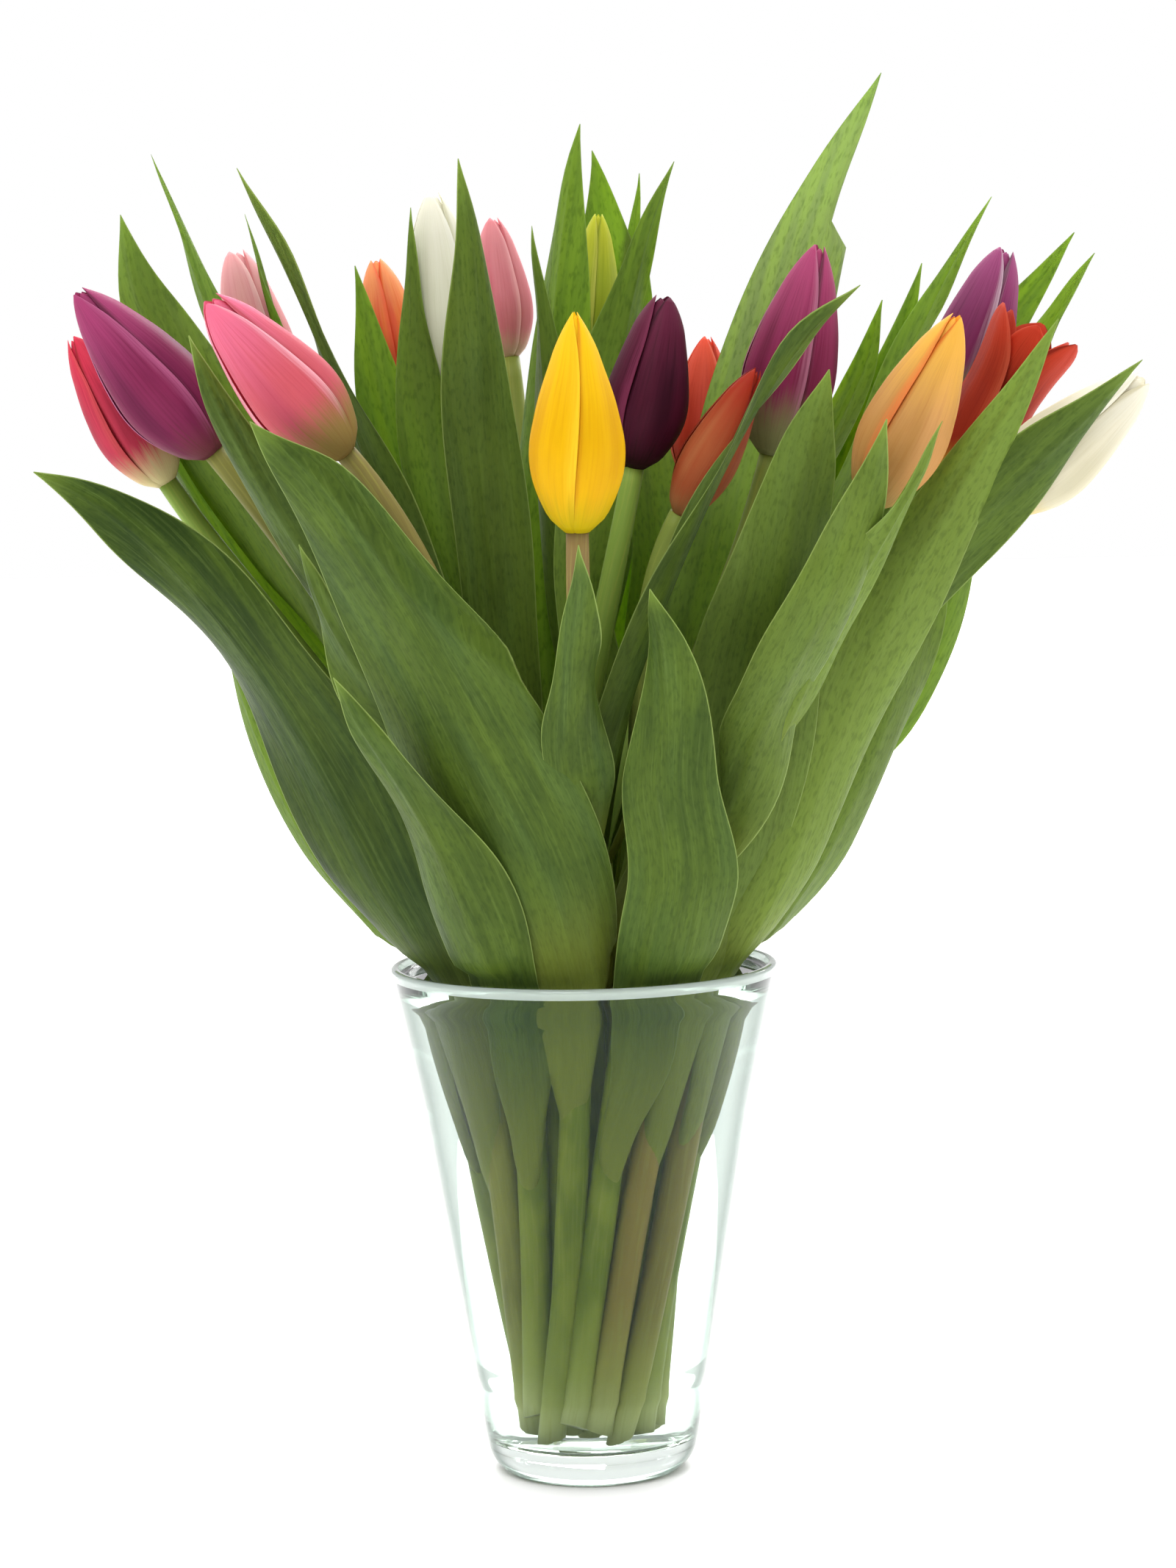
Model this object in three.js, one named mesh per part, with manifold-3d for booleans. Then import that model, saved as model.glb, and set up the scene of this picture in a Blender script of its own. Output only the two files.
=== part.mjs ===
// Tulips in a clear glass vase: twenty cut tulips standing in water.
// Each tulip is a leafy stem, its leaves grown from it, and a bloom seated on the stem's top.
// Millimetres and degrees. Z is up, the vase stands on Z = 0, and the bouquet's front looks towards -Y.
// Azimuths turn from +X (0, right) over +Y (90, back) to -X (180, left) and -Y (270, front).

import * as THREE from "three";
import { ConvexGeometry } from "three/addons/geometries/ConvexGeometry.js";
import { mergeVertices } from "three/addons/utils/BufferGeometryUtils.js";
import Module from "manifold-3d";

const wasm = await Module();
wasm.setup();

// ---- driving dimensions ----

const vase = {
  height: 165,
  rimRadius: 62.3,
  wall: 3,
  segments: 32,
  // outer wall as [radius, height] from the foot up: rounded foot, heavy base, slight waist, flared cone
  outline: [[28, 0], [33.2, 4.5], [35.4, 15], [36.2, 27], [37.4, 31], [44.6, 73], [52.7, 120], [61.9, 162.5]],
  inside: [[26.5, 10], [31.2, 14], [33, 25]], // edge of the inner floor, then its rounding up to the cone
};

const water = {
  level: 161.5,
  gap: 0.35, // to the glass and round the stems
  sheathGap: 0.8, // round the leaf bases
  holeStart: 12, // the stem holes are cut from this far under the cut ends
};

const bunch = {
  footHeight: 21.35, // level where footSpread and twist hold
  footSpread: 16, // radius of the outer ring of stems at that level
  neckHeight: 165, // level of the rim
  neckSpread: 37, // radius of the outer ring of stems at the rim
  twist: -42, // the stems at footHeight are turned this far against the neck
  cutHeight: 10.35, // lowest cut end, just off the glass floor
  cutSpread: 9, // the others end up to this far above it
};

const stem = {
  radii: [[0, 3.5], [0.4, 4.1], [1, 3.4]], // along the stem, from the cut end to the bloom
  sides: 6,
  steps: 4,
  rise: 0.36, // share of the way from neck to bloom that follows the straight part's direction
  bow: 0.3, // share of it that follows the bloom's
};

const blade = {
  thickness: 0.75,
  steps: 7, // lengthwise
  across: 3,
  slim: 24, // a blade narrower than this has one strip less across
  rootRadius: 2.2, // the root lies inside the stem
  sheath: 100, // half angle of the leaf where it clasps the stem
  tipFold: 14,
  tipWidth: 1.2,
  stand: 9,
  standAt: 0.4, // share of a leaf's height where it stands off its stem
  belly: 0.45,
  baseShare: 0.45, // width at the base as a share of the full width
  taper: 1.8,
  // shares of a leaf's length over which it:
  opens: 0.45, // from the sheath to its channel
  opensFreely: 0.3, // the same where it bows off its stem
  widens: 0.22,
  turns: 0.55, // to the azimuth that it faces
  flattens: 0.5,
  wave: 1.5, // height of the waves along both edges
  waves: 2,
  waveShift: 0.2, // how far the two edges' waves are out of step
  tornShare: 0.3, // what is left of a torn half past the tear
  overRim: 2, // a leaf is bent over the rim this far above it
  clearance: 0.32, // least gap to any other piece
};

// A leaf in the neck keeps to the room round its own stem: half way to each neighbour, less a margin.
const room = {
  margin: 0.85,
  most: 60,
  pressed: 0.75, // share of the room from which a leaf is pressed back
  outerFrom: 0.15, // stems this far out, as a share of the neck's spread, leave more room outwards
  outerOver: 0.5,
  outerGain: 4,
  wallGap: 1.3, // to the inside of the glass, up to rimMargin above the rim
  rimMargin: 4,
  freeFrom: 170, // above this height the room grows, with no limit from two freeOver on
  freeOver: 40,
  freeGain: 5,
};

// Buds: outlines as [share of length, share of radius]; each petal laps over the next by its step.
const bud = {
  petals: 3,
  across: 3,
  lap: 0.05,
  lapWidth: 7, // degrees
  seat: 0.3, // gap between a stem's top and its bloom
  tipsFrom: 0.8, // share of the length where the petals part
  inner: { size: 0.86, turn: 60, from: 0.5, top: 1.03 }, // inner petals: narrower, a little longer
};
const open = {
  seat: [6.2, 4, 5], // top radius, foot radius and height of the base that the petals grow from
  levels: [0, 0.2, 0.5, 0.82, 1],
  spread: [[0, 64], [0.5, 60], [0.82, 42], [1, 8]], // half the angle that a petal spans, up its length
  thickness: 1.2,
  start: 1.4,
};
const budOutline = [[0, 0.26], [0.08, 0.64], [0.3, 1], [0.56, 0.93], [0.8, 0.6], [1, 0.13]];
const openOutline = [[0, 0.28], [0.06, 0.55], [0.18, 0.82], [0.38, 1], [0.6, 1.02], [0.8, 0.98], [1, 1.02]];

const leafGreen = 0x4f7a35;
const finish = 0.1; // what fusing leaves smaller than this is smoothed away

// ---- the tulips, front ones first ----
// place: [share of the spread, azimuth] of the stem in the neck
// head: centre of the bloom; lean: [azimuth, degrees from upright]; bud: [length, diameter]
// leaves: from = height of the root on the stem, side = azimuth of the root on the stem,
// tip = where the leaf ends, reach = the stretch that it runs straight for before the tip,
// width = flat width, face = azimuth that the back of the blade looks to, fold = half angle of its channel,
// stand = how far the blade bows off its stem, belly = share of its length where it is widest,
// torn = share of its length from which its right half is torn away

const tulips = [
  {
    name: "yellow", place: [1, 267], head: [1, -98, 340], lean: [275, 5], bud: [65, 29], colour: 0xf7c81a,
    leaves: [
      { from: 112, side: 290, tip: [-96, -92, 342], reach: [-46, -8, 56], width: 60, face: 258, fold: 26, stand: 15 },
      { from: 182, side: 265, tip: [1, -106, 304], reach: [4, -12, 50], width: 27, face: 280, fold: 36 },
    ],
  },
  {
    name: "slim_red", place: [1, 295], head: [45, -34, 332], lean: [335, 31], bud: [52, 18], colour: 0xc4472a,
    leaves: [
      { from: 96, side: 282, tip: [22, -94, 290], reach: [-9, 0, 44], width: 40, face: 268, fold: 24, stand: 19 },
      { from: 150, side: 80, tip: [70, -22, 318], reach: [22, 0, 60], width: 34, face: 290, fold: 30 },
    ],
  },
  {
    name: "purple", place: [1, 212], head: [-133, -27, 357], lean: [192, 39], bud: [65, 29], colour: 0x6d2350,
    leaves: [
      { from: 86, side: 205, tip: [-167, -42, 327], reach: [-67, -6, 30], width: 46, face: 245, fold: 30, stand: 18 },
      { from: 150, side: 60, tip: [-143, 8, 407], reach: [-16, 4, 80], width: 40, face: 215, fold: 34, belly: 0.62 },
    ],
  },
  {
    name: "pink", place: [1, 239.5], head: [-89, -68, 355], lean: [203, 42], bud: [63, 28], colour: 0xd65a86,
    leaves: [
      { from: 94, side: 250, tip: [-74, -76, 264], reach: [-30, -6, 46], width: 32, face: 250, fold: 34, stand: 16 },
      { from: 150, side: 100, tip: [-117, -52, 368], reach: [-22, 0, 62], width: 26, face: 235, fold: 46 },
      { from: 190, side: 260, tip: [-84, -66, 304], reach: [-20, 0, 56], width: 34, face: 250, fold: 30 },
    ],
  },
  {
    name: "apricot", place: [1, 322.5], head: [104, -60, 341], lean: [335, 27], bud: [64, 27], colour: 0xdc9a4a,
    leaves: [
      { from: 98, side: 300, tip: [78, -66, 354], reach: [14, -4, 60], width: 42, face: 272, fold: 26, stand: 14, belly: 0.55 },
      { from: 160, side: 140, tip: [94, -84, 339], reach: [18, -6, 70], width: 27, face: 290, fold: 42, belly: 0.6 },
      { from: 205, side: 330, tip: [111, -80, 338], reach: [26, -4, 48], width: 20, face: 300, fold: 30 },
    ],
  },
  {
    name: "cream", place: [1, 350], head: [155, -28, 330], lean: [352, 50], bud: [60, 27], colour: 0xf0e9d2,
    leaves: [
      { from: 94, side: 325, tip: [149, -54, 368], reach: [44, -6, 70], width: 32, face: 292, fold: 38, stand: 20 },
      { from: 160, side: 170, tip: [175, -34, 355], reach: [62, -2, 50], width: 30, face: 300, fold: 38, belly: 0.6 },
    ],
  },
  {
    name: "crimson", place: [1, 184], head: [-145, 8, 345], lean: [184, 32], bud: [55, 24], colour: 0xc62a3f,
    leaves: [
      { from: 92, side: 170, tip: [-118, 50, 330], reach: [18, 4, 84], width: 44, face: 226, fold: 34, stand: 22 },
      { from: 160, side: 60, tip: [-158, 26, 383], reach: [-26, 4, 64], width: 32, face: 180, fold: 40 },
    ],
  },
  {
    name: "dark_purple", place: [0.5, 250], head: [24, -26, 351], lean: [340, 12], bud: [54, 26], colour: 0x4a1538,
    leaves: [
      { from: 130, side: 290, tip: [87, -78, 379], reach: [58, -4, 46], width: 25, face: 290, fold: 44, belly: 0.55 },
      { from: 165, side: 90, tip: [34, 20, 421], reach: [40, 4, 90], width: 27, face: 300, fold: 34, belly: 0.62 },
    ],
  },
  {
    name: "magenta", place: [0.5, 310], head: [70, -16, 360], lean: [350, 14], bud: [67, 29], colour: 0x8a2458,
    leaves: [
      { from: 165, side: 60, tip: [101, 22, 448], reach: [40, 4, 100], width: 44, face: 280, fold: 50, belly: 0.6, torn: 0.82 },
      { from: 150, side: 280, tip: [88, -36, 282], reach: [26, -4, 44], width: 30, face: 300, fold: 30 },
    ],
  },
  {
    name: "white_tall", place: [0.5, 185], head: [-41, 30, 379], lean: [165, 6], bud: [68, 27], colour: 0xf1ece0,
    leaves: [
      { from: 130, side: 300, tip: [-34, -30, 421], reach: [-9, -2, 90], width: 25, face: 268, fold: 24, belly: 0.6 },
      { from: 165, side: 200, tip: [-102, -38, 419], reach: [-42, -2, 90], width: 20, face: 235, fold: 40, belly: 0.55 },
      { from: 195, side: 100, tip: [-51, 22, 408], reach: [4, 4, 84], width: 20, face: 235, fold: 36, belly: 0.55 },
    ],
  },
  {
    name: "red_centre", place: [0, 0], head: [43, 42, 340], lean: [60, 5], bud: [50, 22], colour: 0xd23a22,
    leaves: [
      { from: 150, side: 210, tip: [-12, 0, 401], reach: [0, 0, 84], width: 26, face: 235, fold: 34, belly: 0.6 },
      { from: 190, side: 30, tip: [26, 70, 387], reach: [4, 8, 70], width: 24, face: 100, fold: 36, belly: 0.55 },
    ],
  },
  {
    name: "mauve", place: [0.5, 5], head: [131, 32, 363], lean: [5, 20], bud: [60, 27], colour: 0x8b3a6d,
    leaves: [
      { from: 160, side: 30, tip: [139, 54, 409], reach: [54, 4, 86], width: 24, face: 60, fold: 38, belly: 0.55 },
      { from: 190, side: 340, tip: [167, 62, 397], reach: [50, 12, 62], width: 22, face: 60, fold: 34, belly: 0.6 },
    ],
  },
  {
    name: "open_red", place: [1, 18], head: [135, 8, 342], lean: [352, 31], bud: [58, 24], colour: 0xb43324, open: true,
    leaves: [
      { from: 100, side: 355, tip: [112, 18, 330], reach: [-10, 0, 80], width: 42, face: 300, fold: 34, stand: 26 },
      { from: 140, side: 60, tip: [132, 48, 340], reach: [-4, 0, 64], width: 42, face: 305, fold: 34, stand: 20 },
      { from: 180, side: 60, tip: [173, 40, 390], reach: [40, 6, 54], width: 22, face: 60, fold: 34, belly: 0.6 },
    ],
  },
  {
    name: "blush", place: [1, 156.5], head: [-105, 62, 370], lean: [150, 16], bud: [54, 23], colour: 0xe79aa2,
    leaves: [
      { from: 120, side: 140, tip: [-135, 32, 427], reach: [-30, 2, 90], width: 30, face: 180, fold: 36, belly: 0.6 },
      { from: 185, side: 300, tip: [-107, 56, 408], reach: [-22, 0, 74], width: 14, face: 170, fold: 30 },
    ],
  },
  {
    name: "flame", place: [1, 129], head: [-61, 70, 371], lean: [150, 12], bud: [44, 20], colour: 0xe0532f,
    leaves: [
      { from: 160, side: 290, tip: [-70, 34, 390], reach: [-18, -2, 90], width: 26, face: 235, fold: 32, belly: 0.6 },
      { from: 98, side: 120, tip: [-118, 118, 336], reach: [-52, 56, 44], width: 46, face: 135, fold: 28, stand: 20 },
    ],
  },
  {
    name: "lime", place: [0.5, 70], head: [8, 90, 384], lean: [30, 5], bud: [46, 16], colour: 0xb8c431,
    leaves: [
      { from: 160, side: 60, tip: [8, 100, 429], reach: [-20, 6, 84], width: 34, face: 100, fold: 30, belly: 0.62 },
      { from: 190, side: 200, tip: [24, 108, 421], reach: [2, 6, 84], width: 20, face: 80, fold: 36 },
    ],
  },
  {
    name: "rose", place: [0.5, 125], head: [-24, 108, 383], lean: [140, 8], bud: [48, 20], colour: 0xe07f97,
    leaves: [
      { from: 165, side: 330, tip: [4, 30, 434], reach: [20, -4, 92], width: 30, face: 250, fold: 34, belly: 0.6 },
      { from: 150, side: 110, tip: [-60, 140, 362], reach: [-18, 34, 60], width: 34, face: 110, fold: 30 },
    ],
  },
  {
    name: "coral", place: [1, 46], head: [104, 84, 331], lean: [35, 16], bud: [54, 25], colour: 0xe2566c,
    leaves: [
      { from: 150, side: 240, tip: [117, 70, 388], reach: [20, 6, 76], width: 22, face: 60, fold: 32, belly: 0.55 },
      { from: 98, side: 60, tip: [118, 120, 312], reach: [46, 46, 40], width: 42, face: 50, fold: 28, stand: 18 },
    ],
  },
  {
    name: "gold", place: [1, 73], head: [62, 120, 340], lean: [62, 20], bud: [60, 27], colour: 0xf2bf22,
    leaves: [
      { from: 150, side: 260, tip: [103, 60, 376], reach: [22, -4, 70], width: 26, face: 60, fold: 30, belly: 0.55 },
      { from: 94, side: 80, tip: [70, 148, 300], reach: [26, 52, 44], width: 46, face: 75, fold: 28, stand: 20 },
    ],
  },
  {
    name: "violet", place: [1, 101], head: [-36, 134, 346], lean: [100, 22], bud: [60, 27], colour: 0x75305f,
    leaves: [
      { from: 90, side: 95, tip: [0, 150, 322], reach: [6, 56, 50], width: 46, face: 90, fold: 28, stand: 18 },
      { from: 150, side: 240, tip: [-62, 148, 292], reach: [-30, 50, 40], width: 40, face: 115, fold: 28 },
    ],
  },
];

// The gentlest bend that clears a leaf of its neighbours is found among these:
// shifts of the tip and of the belly in depth, a turn of the blade, and a narrower blade.
const bends = [];
for (const tipShift of [0, -8, 8, -16, 16, -26, 26]) {
  for (const bellyShift of [0, -7, 7, -14, 14, -22, 22, -32, 32]) {
    for (const turn of [0, -22, 22, -45, 45]) {
      for (const narrow of [1, 0.82, 0.66]) {
        const effort = Math.abs(tipShift) / 8 + Math.abs(bellyShift) / 7 + Math.abs(turn) / 18 + (1 - narrow) * 9;
        bends.push({ tipShift, bellyShift, turn, narrow, effort });
      }
    }
  }
}
bends.sort((a, b) => a.effort - b.effort);

// ---- small helpers ----

const rad = THREE.MathUtils.degToRad;
const v3 = (x, y, z) => new THREE.Vector3(x, y, z);
const heading = (azimuth) => v3(Math.cos(rad(azimuth)), Math.sin(rad(azimuth)), 0);
const smooth = (x) => THREE.MathUtils.smoothstep(x, 0, 1);

// Value at t on a list of [place, value] pairs, joined by straight stretches.
function along(pairs, t) {
  let k = 1;
  while (k < pairs.length - 1 && pairs[k][0] < t) k += 1;
  const [t0, a] = pairs[k - 1];
  const [t1, b] = pairs[k];
  return a + (b - a) * THREE.MathUtils.clamp((t - t0) / (t1 - t0), 0, 1);
}

// Closed solid from vertices and triangles.
function solidOf(vertices, triangles) {
  const geometry = new THREE.BufferGeometry();
  const numbers = vertices.flatMap((p) => [p.x, p.y, p.z]);
  geometry.setAttribute("position", new THREE.Float32BufferAttribute(numbers, 3));
  geometry.setIndex(triangles);
  return solidOfGeometry(geometry);
}

function solidOfGeometry(geometry) {
  geometry.deleteAttribute("normal");
  geometry.deleteAttribute("uv");
  const merged = mergeVertices(geometry, 1e-4);
  const made = new wasm.Manifold(
    new wasm.Mesh({
      numProp: 3,
      vertProperties: merged.attributes.position.array,
      triVerts: new Uint32Array(merged.index.array),
    }),
  );
  return made;
}

// The solid as one body, smoothed: loose scraps are dropped and sealed hollows filled.
function oneBody(solid) {
  const bodies = solid.simplify(finish).decompose();
  bodies.sort((a, b) => b.volume() - a.volume());
  return bodies[0];
}

function geometryOf(solid) {
  const mesh = solid.getMesh();
  const geometry = new THREE.BufferGeometry();
  geometry.setAttribute("position", new THREE.Float32BufferAttribute(mesh.vertProperties, 3));
  geometry.setIndex([...mesh.triVerts]);
  geometry.computeVertexNormals();
  return geometry;
}

// ---- stems ----

// Corner points of a stem's axis: straight from the cut end to the neck, then curving to the bloom's seat.
// The stems are cut to uneven lengths, in turn with their order.
function stemAxis(tulip, order) {
  const [share, azimuth] = tulip.place;
  const foot = heading(azimuth + bunch.twist).multiplyScalar(share * bunch.footSpread);
  foot.z = bunch.footHeight;
  const neck = heading(azimuth).multiplyScalar(share * bunch.neckSpread);
  neck.z = bunch.neckHeight;
  const axis = bloomAxis(tulip);
  const seat = v3(...tulip.head).addScaledVector(axis, -tulip.bud[0] / 2);
  const rise = neck.clone().sub(foot).normalize();
  const span = seat.distanceTo(neck);
  const curve = new THREE.CubicBezierCurve3(
    neck,
    neck.clone().addScaledVector(rise, span * stem.rise),
    seat.clone().addScaledVector(axis, -span * stem.bow),
    seat,
  );
  const cutHeight = bunch.cutHeight + bunch.cutSpread * ((order * 0.618) % 1);
  const cut = foot.clone().lerp(neck, (cutHeight - foot.z) / (neck.z - foot.z));
  return [cut, foot.clone().lerp(neck, 0.5), ...curve.getPoints(stem.steps)];
}

function bloomAxis(tulip) {
  const [azimuth, tilt] = tulip.lean;
  return heading(azimuth).multiplyScalar(Math.sin(rad(tilt))).setZ(Math.cos(rad(tilt)));
}

// Where a stem's axis is at height z.
function axisAt(axis, z) {
  let k = 1;
  while (k < axis.length - 1 && axis[k].z < z) k += 1;
  const t = (z - axis[k - 1].z) / (axis[k].z - axis[k - 1].z);
  return axis[k - 1].clone().lerp(axis[k], t);
}

// Tube of flat sides along the axis, its cut end level. grow widens it and sinks it through the floor.
function stemSolid(axis, top, grow = 0) {
  const points = axis.map((p) => p.clone());
  if (grow) points[0].addScaledVector(points[1].clone().sub(points[0]).normalize(), -water.holeStart);
  const flats = Math.cos(Math.PI / stem.sides);
  const last = points.length - 1;
  const vertices = [];
  const triangles = [];
  points.forEach((p, k) => {
    const before = points[Math.max(k - 1, 0)];
    const after = points[Math.min(k + 1, last)];
    const run = k === last ? top : after.clone().sub(before).normalize();
    const side = v3(1, 0, 0).addScaledVector(run, -run.x).normalize();
    const depth = run.clone().cross(side);
    const radius = along(stem.radii, k / last) + grow / flats;
    for (let n = 0; n < stem.sides; n += 1) {
      const angle = (2 * Math.PI * n) / stem.sides;
      const corner = p.clone();
      corner.addScaledVector(side, radius * Math.cos(angle));
      corner.addScaledVector(depth, radius * Math.sin(angle));
      if (k === 0) corner.addScaledVector(run, (p.z - corner.z) / run.z);
      vertices.push(corner);
    }
  });
  for (let k = 0; k < last; k += 1) {
    for (let n = 0; n < stem.sides; n += 1) {
      const a = k * stem.sides + n;
      const b = k * stem.sides + ((n + 1) % stem.sides);
      triangles.push(a, b, b + stem.sides, a, b + stem.sides, a + stem.sides);
    }
  }
  const end = last * stem.sides;
  for (let n = 1; n < stem.sides - 1; n += 1) {
    triangles.push(0, n + 1, n);
    triangles.push(end, end + n, end + n + 1);
  }
  return solidOf(vertices, triangles);
}

// ---- leaves ----

// How far a leaf may stand off its stem at height z towards the unit direction, in the crowded neck.
function roomAt(stems, own, centre, z, direction) {
  let limit = room.most;
  for (const other of stems) {
    if (other === own) continue;
    const away = axisAt(other, z).sub(centre);
    const distance = Math.hypot(away.x, away.y);
    const share = (away.x * direction.x + away.y * direction.y) / distance;
    if (share > 0.05) limit = Math.min(limit, (distance / 2 - room.margin) / share);
  }
  const outwards = (centre.x * direction.x + centre.y * direction.y) / bunch.neckSpread;
  limit *= 1 + room.outerGain * smooth((outwards - room.outerFrom) / room.outerOver);
  if (z < vase.height + room.rimMargin) {
    const inside = wallRadius(z) - vase.wall - room.wallGap;
    const b = centre.x * direction.x + centre.y * direction.y;
    const c = centre.x ** 2 + centre.y ** 2 - inside ** 2;
    limit = Math.min(limit, -b + Math.sqrt(b * b - c));
  }
  const free = Math.max(0, (z - room.freeFrom) / room.freeOver);
  return limit * (1 + room.freeGain * free ** 1.5);
}

// Moves a leaf point towards its stem until it keeps to the stem's room.
function keepToRoom(point, stems, own) {
  if (point.z > room.freeFrom + 2 * room.freeOver) return;
  const centre = axisAt(own, point.z);
  const out = v3(point.x - centre.x, point.y - centre.y, 0);
  const distance = out.length();
  if (distance < 1e-6) return;
  out.divideScalar(distance);
  const limit = roomAt(stems, own, centre, point.z, out);
  const start = room.pressed;
  if (distance < start * limit) return;
  const kept = limit * (start + (1 - start) * Math.tanh((distance / limit - start) / (1 - start)));
  point.x = centre.x + out.x * kept;
  point.y = centre.y + out.y * kept;
}

// Share of the full width at s along the leaf.
function widthShare(s, belly) {
  const rise = blade.baseShare + (1 - blade.baseShare) * Math.sin((Math.PI / 2) * Math.min(1, s / belly));
  const taper = s < belly ? 1 : 1 - ((s - belly) / (1 - belly)) ** blade.taper;
  return rise * taper;
}

// Places of the rows along a leaf: even, but one row of a leaf that starts in the vase lies level with the rim.
function rowPlaces(spine, steps) {
  const places = Array.from({ length: steps + 1 }, (_, k) => k / steps);
  if (spine.getPoint(0).z > vase.height) return places;
  let [low, high] = [0, 1];
  for (let n = 0; n < 24; n += 1) {
    const middle = (low + high) / 2;
    if (spine.getPoint(middle).z < vase.height + blade.overRim) low = middle;
    else high = middle;
  }
  const atRim = Math.max(1, Math.round(low * steps)) / steps;
  return places.map((s) => (s <= atRim ? (s * low) / atRim : 1 - ((1 - s) * (1 - low)) / (1 - atRim)));
}

// Middle surface of a leaf as rows of points from root to tip.
function leafRows(leaf, bend, stems, own, steps, across) {
  const root = axisAt(own, leaf.from).addScaledVector(heading(leaf.side), blade.rootRadius);
  const tip = v3(...leaf.tip);
  tip.y += bend.tipShift;
  const height = tip.z - leaf.from;
  const first = axisAt(own, leaf.from + blade.standAt * height);
  first.addScaledVector(heading(leaf.side), leaf.stand ?? blade.stand);
  const second = tip.clone().sub(v3(...leaf.reach));
  first.y += bend.bellyShift * 0.5;
  second.y += bend.bellyShift;
  const spine = new THREE.CubicBezierCurve3(root, first, second, tip);
  const swing = ((leaf.face + bend.turn - leaf.side + 540) % 360) - 180;
  const rows = [];
  for (const s of rowPlaces(spine, steps)) {
    const p = spine.getPoint(s);
    const run = spine.getTangent(s);
    const back = heading(leaf.side + swing * smooth(s / blade.turns));
    back.addScaledVector(run, -back.dot(run)).normalize();
    const side = run.clone().cross(back);
    const opening = smooth(s / (leaf.stand ? blade.opensFreely : blade.opens));
    const closing = smooth((s - blade.flattens) / (1 - blade.flattens));
    const fold = rad(blade.sheath + (leaf.fold - blade.sheath) * opening + (blade.tipFold - leaf.fold) * closing);
    const fullWidth = leaf.width * bend.narrow * widthShare(s, leaf.belly ?? blade.belly);
    const rootWidth = 2 * rad(blade.sheath) * blade.rootRadius;
    const width = rootWidth + (fullWidth - rootWidth) * smooth(s / blade.widens);
    const radius = Math.max(width, blade.tipWidth) / (2 * fold);
    const row = [];
    for (let n = 0; n <= across; n += 1) {
      const c = -1 + (2 * n) / across;
      const torn = leaf.torn && c > 0 && s > leaf.torn;
      const angle = fold * c * (torn ? blade.tornShare : 1);
      const wave = blade.wave * c * Math.abs(c) * smooth(s / 0.4) * smooth((1 - s) / 0.2);
      const waveAt = 2 * Math.PI * (blade.waves * s + leaf.phase + blade.waveShift * c);
      const q = p.clone();
      q.addScaledVector(back, wave * Math.sin(waveAt));
      q.addScaledVector(back, -radius * (1 - Math.cos(angle)));
      q.addScaledVector(side, radius * Math.sin(angle));
      keepToRoom(q, stems, own);
      row.push(q);
    }
    rows.push(row);
  }
  return rows;
}

// Closed blade round a middle surface: both faces, split alike, and the edges between them.
function bladeSolid(rows, thickness) {
  const steps = rows.length - 1;
  const across = rows[0].length - 1;
  const half = thickness / 2;
  const vertices = [];
  for (const faceSide of [1, -1]) {
    rows.forEach((row, k) => {
      row.forEach((p, n) => {
        const lengthwise = rows[Math.min(k + 1, steps)][n].clone().sub(rows[Math.max(k - 1, 0)][n]);
        const crosswise = row[Math.min(n + 1, across)].clone().sub(row[Math.max(n - 1, 0)]);
        const normal = lengthwise.cross(crosswise).normalize();
        vertices.push(p.clone().addScaledVector(normal, faceSide * half));
      });
    });
  }
  const wide = across + 1;
  const under = (steps + 1) * wide;
  const triangles = [];
  for (let k = 0; k < steps; k += 1) {
    for (let n = 0; n < across; n += 1) {
      const a = k * wide + n;
      const b = a + 1;
      const c = a + wide;
      const d = c + 1;
      triangles.push(a, d, b, a, c, d);
      triangles.push(under + a, under + b, under + d, under + a, under + d, under + c);
    }
    const left = k * wide;
    const right = left + across;
    triangles.push(left, under + left, under + left + wide, left, under + left + wide, left + wide);
    triangles.push(right, under + right + wide, under + right, right, right + wide, under + right + wide);
  }
  for (let n = 0; n < across; n += 1) {
    const end = steps * wide + n;
    triangles.push(n, under + n + 1, under + n, n, n + 1, under + n + 1);
    triangles.push(end, under + end, under + end + 1, end, under + end + 1, end + 1);
  }
  const made = solidOf(vertices, triangles);
  if (made.volume() > 0) return made;
  for (let t = 0; t < triangles.length; t += 3) {
    [triangles[t + 1], triangles[t + 2]] = [triangles[t + 2], triangles[t + 1]];
  }
  return solidOf(vertices, triangles);
}

// ---- blooms ----

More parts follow.
